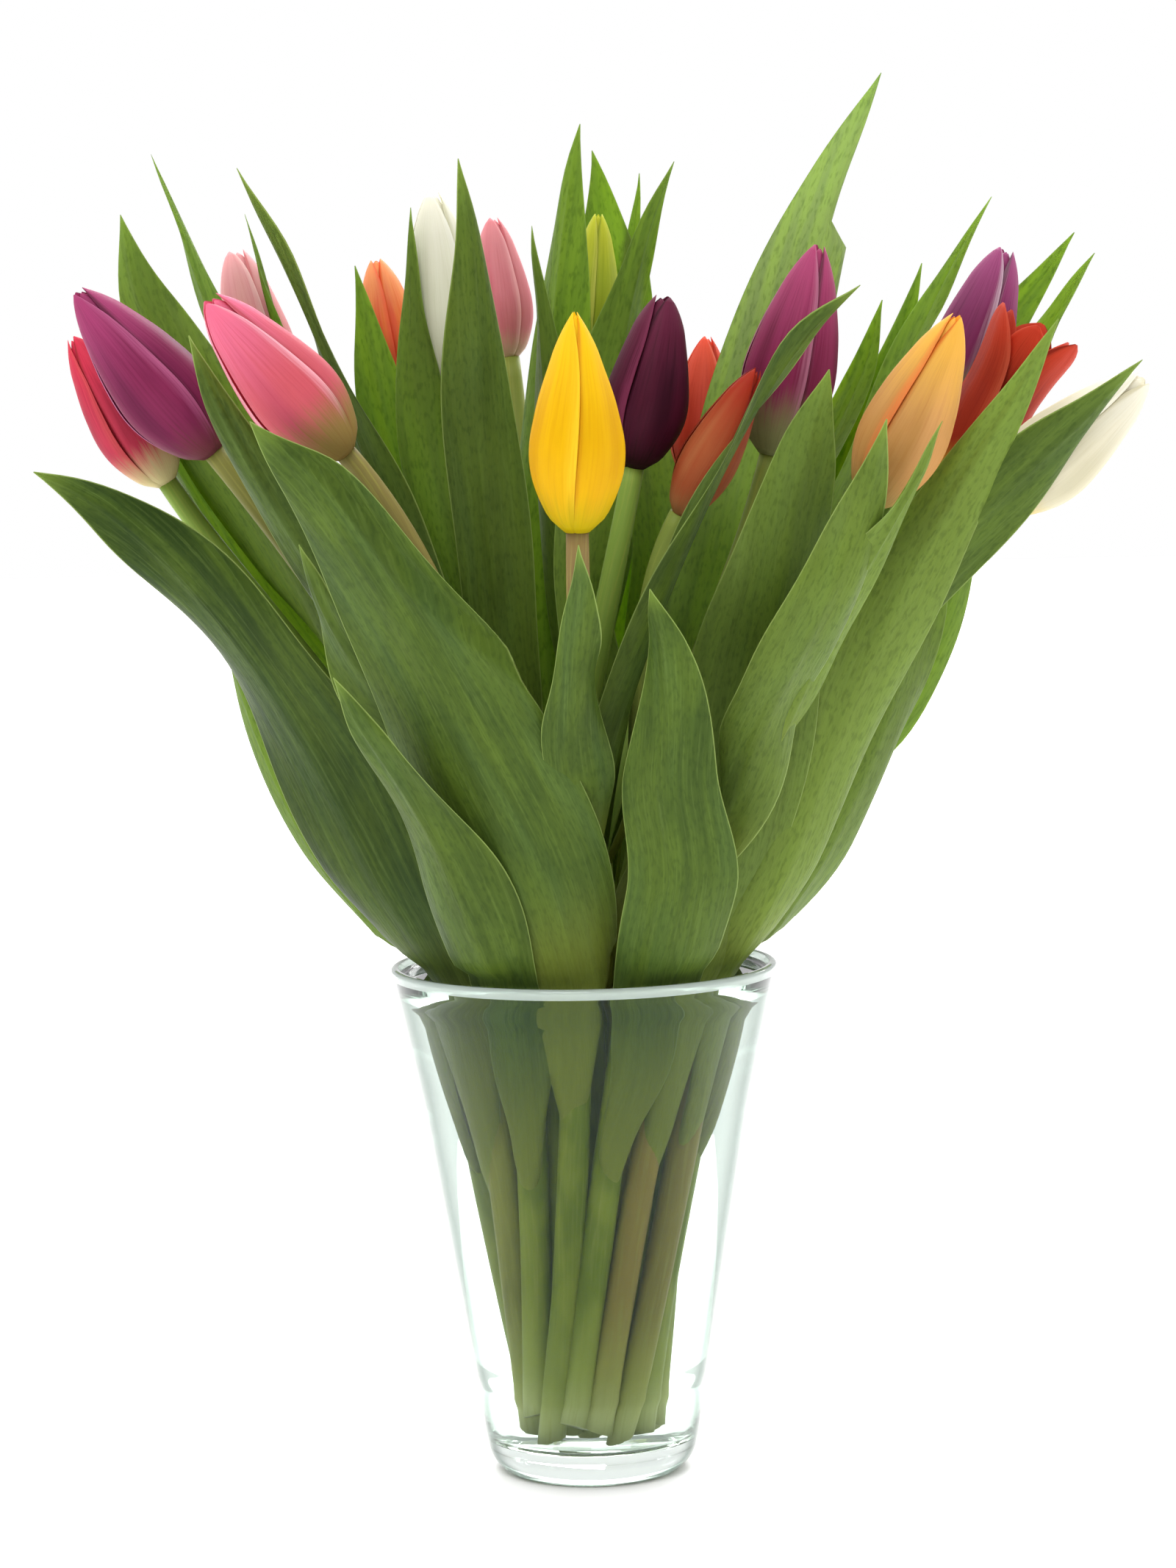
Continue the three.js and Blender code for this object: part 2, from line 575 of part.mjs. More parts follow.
// Closed bud of lapped petals: rings of petal edges up the outline, then a tip for each petal.
function budSolid(tulip, { size, turn, from, top }) {
  const [length, diameter] = tulip.bud;
  const levels = budOutline.filter(([share]) => share >= from && share <= bud.tipsFrom);
  const span = 360 / bud.petals;
  const wide = bud.across + 1;
  const around = wide * bud.petals;
  const vertices = [];
  for (const [share, radiusShare] of levels) {
    for (let n = 0; n < around; n += 1) {
      const c = (n % wide) / bud.across;
      const azimuth = turn + Math.floor(n / wide) * span + c * (span - bud.lapWidth);
      const radius = (diameter / 2) * size * radiusShare * (1 + bud.lap * (2 * c - 1));
      vertices.push(heading(azimuth).multiplyScalar(radius).setZ(length * share));
    }
  }
  const triangles = [];
  for (let k = 0; k < levels.length - 1; k += 1) {
    for (let n = 0; n < around; n += 1) {
      const a = k * around + n;
      const b = k * around + ((n + 1) % around);
      triangles.push(a, b, b + around, a, b + around, a + around);
    }
  }
  const base = vertices.push(v3(0, 0, length * levels[0][0])) - 1;
  const dip = vertices.push(v3(0, 0, length * (bud.tipsFrom - 0.02))) - 1;
  const last = (levels.length - 1) * around;
  for (let n = 0; n < around; n += 1) triangles.push(base, (n + 1) % around, n);
  for (let p = 0; p < bud.petals; p += 1) {
    const tipRadius = (diameter / 2) * size * along(budOutline, 1);
    const azimuth = turn + (p + 0.5) * span - bud.lapWidth / 2;
    const tip = vertices.push(heading(azimuth).multiplyScalar(tipRadius).setZ(length * top)) - 1;
    const start = last + p * wide;
    const next = last + ((p + 1) % bud.petals) * wide;
    for (let n = 0; n < bud.across; n += 1) triangles.push(start + n, start + n + 1, tip);
    triangles.push(start + bud.across, dip, tip, dip, start, tip);
    triangles.push(start + bud.across, next, dip);
  }
  return solidOf(vertices, triangles);
}

// A petal of an open bloom: a blade of its own, cupped round the axis.
function openPetal(tulip, size, top, middle) {
  const [length, diameter] = tulip.bud;
  const rows = [];
  for (const share of open.levels) {
    const radius = (diameter / 2) * size * along(openOutline, share) * (share ? 1 : 0.5);
    const span = along(open.spread, share);
    const height = open.start + length * top * share;
    rows.push([-1, 0, 1].map((c) => {
      const edge = heading(middle + span * c);
      return edge.multiplyScalar(radius * (1 + bud.lap * c)).setZ(height);
    }));
  }
  return bladeSolid(rows, open.thickness);
}

function bloomSolid(tulip) {
  let made;
  if (tulip.open) {
    const [top, foot, height] = open.seat;
    const base = new THREE.CylinderGeometry(top, foot, height, 9);
    made = solidOfGeometry(base.rotateX(Math.PI / 2).translate(0, 0, height / 2));
    for (let n = 0; n < bud.petals; n += 1) {
      made = made.add(openPetal(tulip, 1, 1, 90 + 120 * n));
      made = made.add(openPetal(tulip, bud.inner.size, bud.inner.top, 30 + 120 * n));
    }
  } else {
    const outer = { size: 1, turn: 0, from: 0, top: 1 };
    made = budSolid(tulip, outer).add(budSolid(tulip, bud.inner));
  }
  const axis = bloomAxis(tulip);
  const turn = new THREE.Quaternion().setFromUnitVectors(v3(0, 0, 1), axis);
  const place = v3(...tulip.head).addScaledVector(axis, -tulip.bud[0] / 2 + bud.seat);
  const matrix = new THREE.Matrix4().compose(place, turn, v3(1, 1, 1));
  return made.transform(matrix.elements);
}

// ---- vase and water ----

// Radius of the outer wall at height z.
function wallRadius(z) {
  return along(vase.outline.map(([r, h]) => [h, r]), z);
}

function lathe(profile) {
  const points = profile.map(([r, z]) => new THREE.Vector2(r, z));
  const geometry = new THREE.LatheGeometry(points, vase.segments).rotateX(Math.PI / 2);
  return solidOfGeometry(geometry);
}

// Inner wall as [radius, height], set off the glass by gap.
function innerOutline(gap) {
  const slant = vase.outline.slice(4).map(([r, z]) => [r - vase.wall - gap, z]);
  const [[floorRadius, floor], ...side] = vase.inside;
  const rounding = side.map(([r, z]) => [r - gap, z]);
  return [[0, floor + gap], [floorRadius - gap / 2, floor + gap], ...rounding, ...slant];
}

function vaseSolid() {
  const { rimRadius, height, wall } = vase;
  const rim = [[rimRadius, height - 0.8], [rimRadius - 0.9, height], [rimRadius - wall + 0.6, height]];
  return lathe([[0, 0], ...vase.outline, ...rim, ...innerOutline(0).reverse()]);
}

// Plain hole in the water round the sheathed part of a leafy stem.
function sheathHole(leaves) {
  const corners = [];
  for (const leaf of leaves) {
    const lastWet = leaf.rows.findLastIndex((row) => row.some((p) => p.z < water.level + blade.overRim));
    for (const p of leaf.rows.slice(0, lastWet + 2).flat()) {
      for (const azimuth of [45, 135, 225, 315]) {
        corners.push(p.clone().addScaledVector(heading(azimuth), water.sheathGap * Math.SQRT2));
      }
    }
  }
  return solidOfGeometry(new ConvexGeometry(corners));
}

function waterSolid(stemHoles) {
  const side = innerOutline(water.gap).slice(0, -1);
  const topRadius = wallRadius(water.level) - vase.wall - water.gap;
  let made = lathe([...side, [topRadius, water.level], [0, water.level]]);
  for (const hole of stemHoles) made = made.subtract(hole);
  return oneBody(made);
}

// ---- assembly ----

const boxesMeet = (a, b) =>
  [0, 1, 2].every((n) => a.min[n] < b.max[n] + 1 && b.min[n] < a.max[n] + 1);

const isClear = (made, box, others) =>
  others.every((o) => !boxesMeet(box, o.box) || made.minGap(o.solid, 1) > blade.clearance);

const glass = vaseSolid();
const axes = tulips.map(stemAxis);
const standing = [{ name: "vase", solid: glass, box: glass.boundingBox() }];
tulips.forEach((tulip, k) => {
  tulip.axis = axes[k];
  tulip.stemSolid = stemSolid(tulip.axis, bloomAxis(tulip));
  tulip.bloomSolid = bloomSolid(tulip);
  standing.push({ name: tulip.name, solid: tulip.stemSolid, box: tulip.stemSolid.boundingBox() });
  standing.push({ name: "bloom_" + tulip.name, solid: tulip.bloomSolid, box: tulip.bloomSolid.boundingBox() });
});

let phase = 0;
for (const tulip of tulips) {
  for (const leaf of tulip.leaves) {
    phase = (phase + 0.618) % 1;
    leaf.phase = phase;
    const others = standing.filter((o) => o.name !== tulip.name);
    leaf.bend = null;
    const across = leaf.width < blade.slim ? blade.across - 1 : blade.across;
    for (const bend of bends) {
      const rows = leafRows(leaf, bend, axes, tulip.axis, blade.steps, across);
      const made = bladeSolid(rows, blade.thickness);
      const box = made.boundingBox();
      if (!isClear(made, box, others)) {
        made.delete();
        continue;
      }
      leaf.bend = bend;
      leaf.solid = made;
      leaf.rows = rows;
      break;
    }
    if (!leaf.bend) throw new Error(tulip.name + ": no bend clears the leaf to " + leaf.tip);
    standing.push({ name: tulip.name, solid: leaf.solid, box: leaf.solid.boundingBox() });
  }
}

const bouquet = new THREE.Group();

function addMesh(name, solid, colour, roughness, extra = {}) {
  const material = new THREE.MeshStandardMaterial({ color: colour, roughness, metalness: 0, ...extra });
  const mesh = new THREE.Mesh(geometryOf(solid), material);
  mesh.name = name;
  bouquet.add(mesh);
}

const stemHoles = [];
for (const tulip of tulips) {
  const wet = tulip.leaves.filter((leaf) => leaf.from < water.level + blade.overRim);
  stemHoles.push(stemSolid(tulip.axis, bloomAxis(tulip), water.gap));
  if (wet.length) stemHoles.push(sheathHole(wet));
  let leafyStem = tulip.stemSolid;
  for (const leaf of tulip.leaves) leafyStem = leafyStem.add(leaf.solid);
  addMesh("leafy_stem_" + tulip.name, oneBody(leafyStem), leafGreen, 0.5);
  addMesh("bloom_" + tulip.name, oneBody(tulip.bloomSolid), tulip.colour, 0.45);
}
addMesh("vase", glass, 0xe6f0ea, 0.05, { transparent: true, opacity: 0.3 });
addMesh("water", waterSolid(stemHoles), 0xdfeee6, 0.05, { transparent: true, opacity: 0.3 });

export default bouquet;
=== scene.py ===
# Tulips in a clear glass vase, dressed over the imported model.
# The tables are in millimetres and degrees. Azimuths turn from +X (0, right) over +Y (90, back);
# the front looks towards -Y (270).

import math

import bmesh
import bpy
from mathutils import Matrix, Vector
from mathutils.kdtree import KDTree


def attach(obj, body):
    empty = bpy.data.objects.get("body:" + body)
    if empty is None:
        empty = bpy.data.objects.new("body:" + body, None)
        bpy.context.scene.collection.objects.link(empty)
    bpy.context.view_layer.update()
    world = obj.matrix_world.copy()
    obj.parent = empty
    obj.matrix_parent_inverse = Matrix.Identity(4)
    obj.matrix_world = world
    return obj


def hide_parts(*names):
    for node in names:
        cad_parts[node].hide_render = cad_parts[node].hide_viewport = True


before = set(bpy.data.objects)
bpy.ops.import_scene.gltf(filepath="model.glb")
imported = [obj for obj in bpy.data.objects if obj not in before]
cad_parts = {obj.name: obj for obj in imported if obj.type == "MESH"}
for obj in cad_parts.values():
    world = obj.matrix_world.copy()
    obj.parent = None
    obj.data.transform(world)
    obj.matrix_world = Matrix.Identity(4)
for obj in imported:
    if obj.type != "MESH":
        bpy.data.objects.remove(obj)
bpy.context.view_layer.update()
mm = 0.001


class Wire:  # wraps a node's output, so that shader maths reads as plain expressions
    def __init__(self, tree, socket=None):
        self.tree = tree
        self.socket = socket

    def node(self, kind, settings=None, sockets=None, output=0):
        made = self.tree.nodes.new("ShaderNode" + kind)
        for name, value in (settings or {}).items():
            setattr(made, name, value)
        for name, value in (sockets or {}).items():
            if isinstance(value, Wire):
                self.tree.links.new(value.socket, made.inputs[name])
            else:
                made.inputs[name].default_value = value
        return Wire(self.tree, made.outputs[output] if len(made.outputs) else None)

    def maths(self, operation, *values):
        return self.node("Math", {"operation": operation}, dict(enumerate(values)))

    def __add__(self, other):
        return self.maths("ADD", self, other)

    def __radd__(self, other):
        return self.maths("ADD", other, self)

    def __sub__(self, other):
        return self.maths("SUBTRACT", self, other)

    def __rsub__(self, other):
        return self.maths("SUBTRACT", other, self)

    def __mul__(self, other):
        return self.maths("MULTIPLY", self, other)

    def __rmul__(self, other):
        return self.maths("MULTIPLY", other, self)

    def __abs__(self):
        return self.maths("ABSOLUTE", self)

    def ramp(self, low, high):  # 0 below low, 1 above high, smooth between
        sockets = {"Value": self, "From Min": low, "From Max": high}
        return self.node("MapRange", {"interpolation_type": "SMOOTHSTEP"}, sockets)

    def axis(self, name):  # X, Y or Z of a vector
        return self.node("SeparateXYZ", {}, {0: self}, name)

    def attribute(self, name):
        return self.node("Attribute", {"attribute_name": name}, {}, "Vector")

    def vector(self, x, y, z):
        return self.node("CombineXYZ", {}, {"X": x, "Y": y, "Z": z})

    def noise(self, vector, scale, detail=2, roughness=0.5):
        sockets = {"Vector": vector, "Scale": scale, "Detail": detail, "Roughness": roughness}
        return self.node("TexNoise", {}, sockets)

    def blend(self, first, second, how="MIX"):  # this share of the second colour over the first
        settings = {"data_type": "RGBA", "blend_type": how}
        return self.node("Mix", settings, {0: self, 6: first, 7: second}, 2)


def startMaterial(name):
    material = bpy.data.materials.new(name)
    material.use_nodes = True
    material.node_tree.nodes.clear()
    return material, Wire(material.node_tree)


def colour(text):  # "rrggbb" as a screen shows it, to the linear values that shaders take
    shares = [int(text[k:k + 2], 16) / 255 for k in (0, 2, 4)]
    return (*[s / 12.92 if s <= 0.04045 else ((s + 0.055) / 1.055) ** 2.4 for s in shares], 1)


def heading(azimuth):
    return Vector((math.cos(math.radians(azimuth)), math.sin(math.radians(azimuth)), 0))


def clamp(x, low=0, high=1):
    return max(low, min(high, x))


def smooth(x):
    x = clamp(x)
    return x * x * (3 - 2 * x)


def pairAfter(pairs, t):
    k = 1
    while k < len(pairs) - 1 and pairs[k][0] < t:
        k += 1
    return k


def along(pairs, t):  # value at t on [place, value] pairs, joined by straight stretches
    k = pairAfter(pairs, t)
    (t0, a), (t1, b) = pairs[k - 1], pairs[k]
    return a + (b - a) * clamp((t - t0) / (t1 - t0))


def curve(pairs, t):  # the same, joined smoothly
    def slope(i):
        low, high = max(i - 1, 0), min(i + 1, len(pairs) - 1)
        return (pairs[high][1] - pairs[low][1]) / (pairs[high][0] - pairs[low][0])

    k = pairAfter(pairs, t)
    (t0, a), (t1, b) = pairs[k - 1], pairs[k]
    span = t1 - t0
    x = clamp((t - t0) / span)
    rise = 3 * x * x - 2 * x ** 3
    return (a + (b - a) * rise + slope(k - 1) * span * (x ** 3 - 2 * x * x + x)
            + slope(k) * span * (x ** 3 - x * x))


class Shape:  # gathers the corners and faces of one piece, and what its shaders read at each corner
    def __init__(self):
        self.corners, self.faces, self.finishes = [], [], []
        self.place, self.look, self.nature = [], [], []
        self.own = (0, 0, 0)  # the same all over the leaf that is being added

    def corner(self, point, place=(0, 0, 0), look=(0, 0, 0)):
        self.corners.append(point)
        self.place.append(place)
        self.look.append(look)
        self.nature.append(self.own)
        return len(self.corners) - 1

    def face(self, corners, finish=0):
        self.faces.append(corners)
        self.finishes.append(finish)

    def bridge(self, low, high, finish=0):  # a band of faces between two rings
        for n in range(len(low)):
            m = (n + 1) % len(low)
            self.face((low[n], low[m], high[m], high[n]), finish)

    def cap(self, ring, centre, finish=0):
        for n in range(len(ring)):
            self.face((ring[n], ring[(n + 1) % len(ring)], centre), finish)

    def sheet(self, rows, half, place, look, finish=0):
        # a closed thin body round rows of points, its edges drawn to a line: half(k, n) is half its thickness
        last, wide = len(rows) - 1, len(rows[0]) - 1
        order = [(n, 1) for n in range(wide + 1)] + [(n, -1) for n in range(wide - 1, 0, -1)]
        rings = []
        for k, row in enumerate(rows):
            ring = []
            for n, face in order:
                run = rows[min(k + 1, last)][n] - rows[max(k - 1, 0)][n]
                cross = row[min(n + 1, wide)] - row[max(n - 1, 0)]
                normal = run.cross(cross).normalized()
                point = row[n] + normal * (face * half(k, n))
                ring.append(self.corner(point, place(k, n), look(k, n)))
            rings.append(ring)
        for low, high in zip(rings, rings[1:]):
            self.bridge(low, high, finish)
        for ring in (rings[0], rings[-1]):
            for n in range(wide):
                corners = (ring[n], ring[n + 1], ring[-n - 1], ring[-n])
                self.face(tuple(dict.fromkeys(corners)), finish)

    def piece(self, name, materials, slot, node=None):
        mesh = bpy.data.meshes.new(name)
        mesh.from_pydata([p * mm for p in self.corners], [], self.faces)
        for label, rows in (("place", self.place), ("look", self.look), ("nature", self.nature)):
            attribute = mesh.attributes.new(label, "FLOAT_VECTOR", "POINT")
            attribute.data.foreach_set("vector", [value for row in rows for value in row])
        for material in materials:
            mesh.materials.append(material)
        mesh.polygons.foreach_set("material_index", self.finishes)
        mesh.polygons.foreach_set("use_smooth", [True] * len(mesh.polygons))
        draft = bmesh.new()
        draft.from_mesh(mesh)
        bmesh.ops.recalc_face_normals(draft, faces=draft.faces)
        draft.to_mesh(mesh)
        draft.free()
        made = bpy.data.objects.new(name, mesh)
        bpy.context.scene.collection.objects.link(made)
        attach(made, "root")
        if node:
            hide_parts(node)
        return made


def leafAt(root, side, tip, reach, width, face, fold, **more):
    return dict(root=root, side=side, tip=tip, reach=reach, width=width, face=face, fold=fold, **more)


# The tulips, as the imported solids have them.
# place: [share of the spread, azimuth] of the stem in the neck
# head: centre of the bloom; lean: [azimuth, degrees from upright]; bud: [length, diameter]
# leafAt: root and side = height and azimuth where the leaf leaves its stem, reach = the stretch before
# the tip that runs straight, face = azimuth that its back looks to, fold = half angle of its channel,
# stand = how far it bows off the stem, belly = share of its length where it is widest
tulips = {
    "yellow": dict(place=(1, 267), head=(1, -98, 340), lean=(275, 5), bud=(65, 29), aside=(0, 7, 150, 305),
                   leaves=[
        leafAt(112, 290, (-96, -92, 342), (-46, -8, 56), 60, 258, 26, stand=15, pleat=(0.5, 0.97, 5),
               trim=(1, 0.82), aside=(0, -2, 120, 300)),
        leafAt(182, 265, (1, -106, 304), (4, -12, 50), 27, 280, 36,
               trim=(0.62, 1.15), aside=(0, 7, 100, 285)),
    ]),
    "slim_red": dict(place=(1, 295), head=(45, -34, 332), lean=(335, 31), bud=(52, 18), leaves=[
        leafAt(96, 282, (22, -94, 290), (-9, 0, 44), 40, 268, 24, stand=19,
               trim=(0.78, 1), aside=(7, 0, 108, 235)),
        leafAt(150, 80, (70, -22, 318), (22, 0, 60), 34, 290, 30),
    ]),
    "purple": dict(place=(1, 212), head=(-133, -27, 357), lean=(192, 39), bud=(65, 29), leaves=[
        leafAt(86, 205, (-167, -42, 327), (-67, -6, 30), 46, 245, 30, stand=18, warm=-0.45),
        leafAt(150, 60, (-143, 8, 407), (-16, 4, 80), 40, 215, 34, belly=0.62),
    ]),
    "pink": dict(place=(1, 239.5), head=(-89, -68, 355), lean=(203, 42), bud=(63, 28), leaves=[
        leafAt(94, 250, (-74, -76, 264), (-30, -6, 46), 32, 250, 34, stand=16),
        leafAt(150, 100, (-117, -52, 368), (-22, 0, 62), 26, 235, 46),
        leafAt(190, 260, (-84, -66, 304), (-20, 0, 56), 34, 250, 30),
    ]),
    "apricot": dict(place=(1, 322.5), head=(104, -60, 341), lean=(335, 27), bud=(64, 27),
                    aside=(0, -11, 155, 325), leaves=[
        leafAt(98, 300, (78, -66, 354), (14, -4, 60), 42, 272, 26, stand=14, belly=0.55,
               aside=(0, 9, 150, 300), warm=0.5, glow=0.22),
        leafAt(160, 140, (94, -84, 339), (18, -6, 70), 27, 290, 42, belly=0.6,
               aside=(0, -11, 155, 325), warm=0.35),
        leafAt(205, 330, (111, -80, 338), (26, -4, 48), 20, 300, 30,
               aside=(0, -11, 155, 325), warm=0.8, glow=0.35),
    ]),
    "cream": dict(place=(1, 350), head=(155, -28, 330), lean=(352, 50), bud=(60, 27), leaves=[
        leafAt(94, 325, (149, -54, 368), (44, -6, 70), 32, 292, 38, stand=20, warm=0.8, glow=0.3),
        leafAt(160, 170, (175, -34, 355), (62, -2, 50), 30, 300, 38, belly=0.6),
    ]),
    "crimson": dict(place=(1, 184), head=(-145, 8, 345), lean=(184, 32), bud=(55, 24), leaves=[
        leafAt(92, 170, (-118, 50, 330), (18, 4, 84), 44, 226, 34, stand=22),
        leafAt(160, 60, (-158, 26, 383), (-26, 4, 64), 32, 180, 40),
    ]),
    "dark_purple": dict(place=(0.5, 250), head=(24, -26, 351), lean=(340, 12), bud=(54, 26), leaves=[
        leafAt(130, 290, (87, -78, 379), (58, -4, 46), 25, 290, 44, belly=0.55),
        leafAt(165, 90, (34, 20, 421), (40, 4, 90), 27, 300, 34, belly=0.62),
    ]),
    "magenta": dict(place=(0.5, 310), head=(70, -16, 360), lean=(350, 14), bud=(67, 29), leaves=[
        leafAt(165, 60, (101, 22, 448), (40, 4, 100), 44, 280, 50, belly=0.6, torn=0.82, warm=0.7, glow=0.6),
        leafAt(150, 280, (88, -36, 282), (26, -4, 44), 30, 300, 30),
    ]),
    "white_tall": dict(place=(0.5, 185), head=(-41, 30, 379), lean=(165, 6), bud=(68, 27), leaves=[
        leafAt(130, 300, (-34, -30, 421), (-9, -2, 90), 25, 268, 24, belly=0.6),
        leafAt(165, 200, (-102, -38, 419), (-42, -2, 90), 20, 235, 40, belly=0.55),
        leafAt(195, 100, (-51, 22, 408), (4, 4, 84), 20, 235, 36, belly=0.55),
    ]),
    "red_centre": dict(place=(0, 0), head=(43, 42, 340), lean=(60, 5), bud=(50, 22), leaves=[
        leafAt(150, 210, (-12, 0, 401), (0, 0, 84), 26, 235, 34, belly=0.6),
        leafAt(190, 30, (26, 70, 387), (4, 8, 70), 24, 100, 36, belly=0.55),
    ]),
    "mauve": dict(place=(0.5, 5), head=(131, 32, 363), lean=(5, 20), bud=(60, 27), leaves=[
        leafAt(160, 30, (139, 54, 409), (54, 4, 86), 24, 60, 38, belly=0.55),
        leafAt(190, 340, (167, 62, 397), (50, 12, 62), 22, 60, 34, belly=0.6),
    ]),
    "open_red": dict(place=(1, 18), head=(135, 8, 342), lean=(352, 31), bud=(58, 24), open=True, leaves=[
        leafAt(100, 355, (112, 18, 330), (-10, 0, 80), 42, 300, 34, stand=26),
        leafAt(140, 60, (132, 48, 340), (-4, 0, 64), 42, 305, 34, stand=20),
        leafAt(180, 60, (173, 40, 390), (40, 6, 54), 22, 60, 34, belly=0.6),
    ]),
    "blush": dict(place=(1, 156.5), head=(-105, 62, 370), lean=(150, 16), bud=(54, 23), leaves=[
        leafAt(120, 140, (-135, 32, 427), (-30, 2, 90), 30, 180, 36, belly=0.6),
        leafAt(185, 300, (-107, 56, 408), (-22, 0, 74), 14, 170, 30),
    ]),
    "flame": dict(place=(1, 129), head=(-61, 70, 371), lean=(150, 12), bud=(44, 20), leaves=[
        leafAt(160, 290, (-70, 34, 390), (-18, -2, 90), 26, 235, 32, belly=0.6),
        leafAt(98, 120, (-118, 118, 336), (-52, 56, 44), 46, 135, 28, stand=20),
    ]),
    "lime": dict(place=(0.5, 70), head=(8, 90, 384), lean=(30, 5), bud=(46, 16), leaves=[
        leafAt(160, 60, (8, 100, 429), (-20, 6, 84), 34, 100, 30, belly=0.62),
        leafAt(190, 200, (24, 108, 421), (2, 6, 84), 20, 80, 36),
    ]),
    "rose": dict(place=(0.5, 125), head=(-24, 108, 383), lean=(140, 8), bud=(48, 20), leaves=[
        leafAt(165, 330, (4, 30, 434), (20, -4, 92), 30, 250, 34, belly=0.6),
        leafAt(150, 110, (-60, 140, 362), (-18, 34, 60), 34, 110, 30),
    ]),
    "coral": dict(place=(1, 46), head=(104, 84, 331), lean=(35, 16), bud=(54, 25), leaves=[
        leafAt(150, 240, (117, 70, 388), (20, 6, 76), 22, 60, 32, belly=0.55),
        leafAt(98, 60, (118, 120, 312), (46, 46, 40), 42, 50, 28, stand=18),
    ]),
    "gold": dict(place=(1, 73), head=(62, 120, 340), lean=(62, 20), bud=(60, 27), leaves=[
        leafAt(150, 260, (103, 60, 376), (22, -4, 70), 26, 60, 30, belly=0.55),
        leafAt(94, 80, (70, 148, 300), (26, 52, 44), 46, 75, 28, stand=20),
    ]),
    "violet": dict(place=(1, 101), head=(-36, 134, 346), lean=(100, 22), bud=(60, 27), leaves=[
        leafAt(90, 95, (0, 150, 322), (6, 56, 50), 46, 90, 28, stand=18),
        leafAt(150, 240, (-62, 148, 292), (-30, 50, 40), 40, 115, 28),
    ]),
}

vase = dict(
    height=165, wall=3, segments=144,
    outline=[(28, 0), (33.2, 4.5), (35.4, 15), (36.2, 27), (37.4, 31), (44.6, 73), (52.7, 120),
             (61.9, 162.5)],
)
water = dict(level=161.5, overlap=0.1, meniscus=1.3)
bunch = dict(
    footHeight=21.35, footSpread=16, neckHeight=165, neckSpread=37, twist=-42,
    cutHeight=10.35, cutSpread=9,  # the cut ends stand between these, one above the other
)
stem = dict(radii=[(0, 3.5), (0.4, 4.1), (1, 3.4)], steps=4, rise=0.36, bow=0.3)
blade = dict(
    thickness=0.75, steps=7, across=3, slim=24, rootRadius=2.2, sheath=100, tipFold=14, tipWidth=1.2,
    stand=9, standAt=0.4, belly=0.45, baseShare=0.45, taper=1.8, opens=0.45, opensFreely=0.3,
    widens=0.22, turns=0.55, flattens=0.5, wave=1.5, waves=2, waveShift=0.2, tornShare=0.3, overRim=2,
)
room = dict(
    margin=0.85, most=60, pressed=0.75, outerFrom=0.15, outerOver=0.5, outerGain=4,
    wallGap=1.3, rimMargin=4, freeFrom=170, freeOver=40, freeGain=5,
)


def wallRadius(z):  # of the outer wall
    return along([(h, r) for r, h in vase["outline"]], z)


def bezier(points, t):
    a, b, c, d = points
    s = 1 - t
    return a * s ** 3 + b * (3 * s * s * t) + c * (3 * s * t * t) + d * t ** 3


def bloomAxis(tulip):
    azimuth, tilt = tulip["lean"]
    axis = heading(azimuth) * math.sin(math.radians(tilt))
    axis.z = math.cos(math.radians(tilt))
    return axis


def stemCurve(tulip, order):  # the cut end, half way up to the neck, and the curve from the neck to the bloom
    share, azimuth = tulip["place"]
    foot = heading(azimuth + bunch["twist"]) * (share * bunch["footSpread"])
    foot.z = bunch["footHeight"]
    neck = heading(azimuth) * (share * bunch["neckSpread"])
    neck.z = bunch["neckHeight"]
    axis = bloomAxis(tulip)
    seat = Vector(tulip["head"]) - axis * (tulip["bud"][0] / 2)
    span = (seat - neck).length
    rise = (neck - foot).normalized()
    cutHeight = bunch["cutHeight"] + bunch["cutSpread"] * (order * 0.618 % 1)
    cut = foot.lerp(neck, (cutHeight - foot.z) / (neck.z - foot.z))
    upper = (neck, neck + rise * (span * stem["rise"]), seat - axis * (span * stem["bow"]), seat)
    return cut, foot.lerp(neck, 0.5), upper


def stemAxis(tulip, order):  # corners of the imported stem's axis
    cut, middle, upper = stemCurve(tulip, order)
    return [cut, middle, *[bezier(upper, k / stem["steps"]) for k in range(stem["steps"] + 1)]]


def axisAt(axis, z):
    k = 1
    while k < len(axis) - 1 and axis[k].z < z:
        k += 1
    low, high = axis[k - 1], axis[k]
    return low.lerp(high, (z - low.z) / (high.z - low.z))


for order, tulip in enumerate(tulips.values()):
    tulip["axis"] = stemAxis(tulip, order)


def roomAt(own, centre, z, direction):  # how far a leaf may stand off its stem in the crowded neck
    limit = room["most"]
    for other in tulips.values():
        if other is own:
            continue
        away = axisAt(other["axis"], z) - centre
        distance = math.hypot(away.x, away.y)
        share = (away.x * direction.x + away.y * direction.y) / distance
        if share > 0.05:
            limit = min(limit, (distance / 2 - room["margin"]) / share)
    outwards = (centre.x * direction.x + centre.y * direction.y) / bunch["neckSpread"]
    limit *= 1 + room["outerGain"] * smooth((outwards - room["outerFrom"]) / room["outerOver"])
    if z < vase["height"] + room["rimMargin"]:
        inside = wallRadius(z) - vase["wall"] - room["wallGap"]
        b = centre.x * direction.x + centre.y * direction.y
        c = centre.x ** 2 + centre.y ** 2 - inside ** 2
        limit = min(limit, -b + math.sqrt(b * b - c))
    free = max(0, (z - room["freeFrom"]) / room["freeOver"])
    return limit * (1 + room["freeGain"] * free ** 1.5)


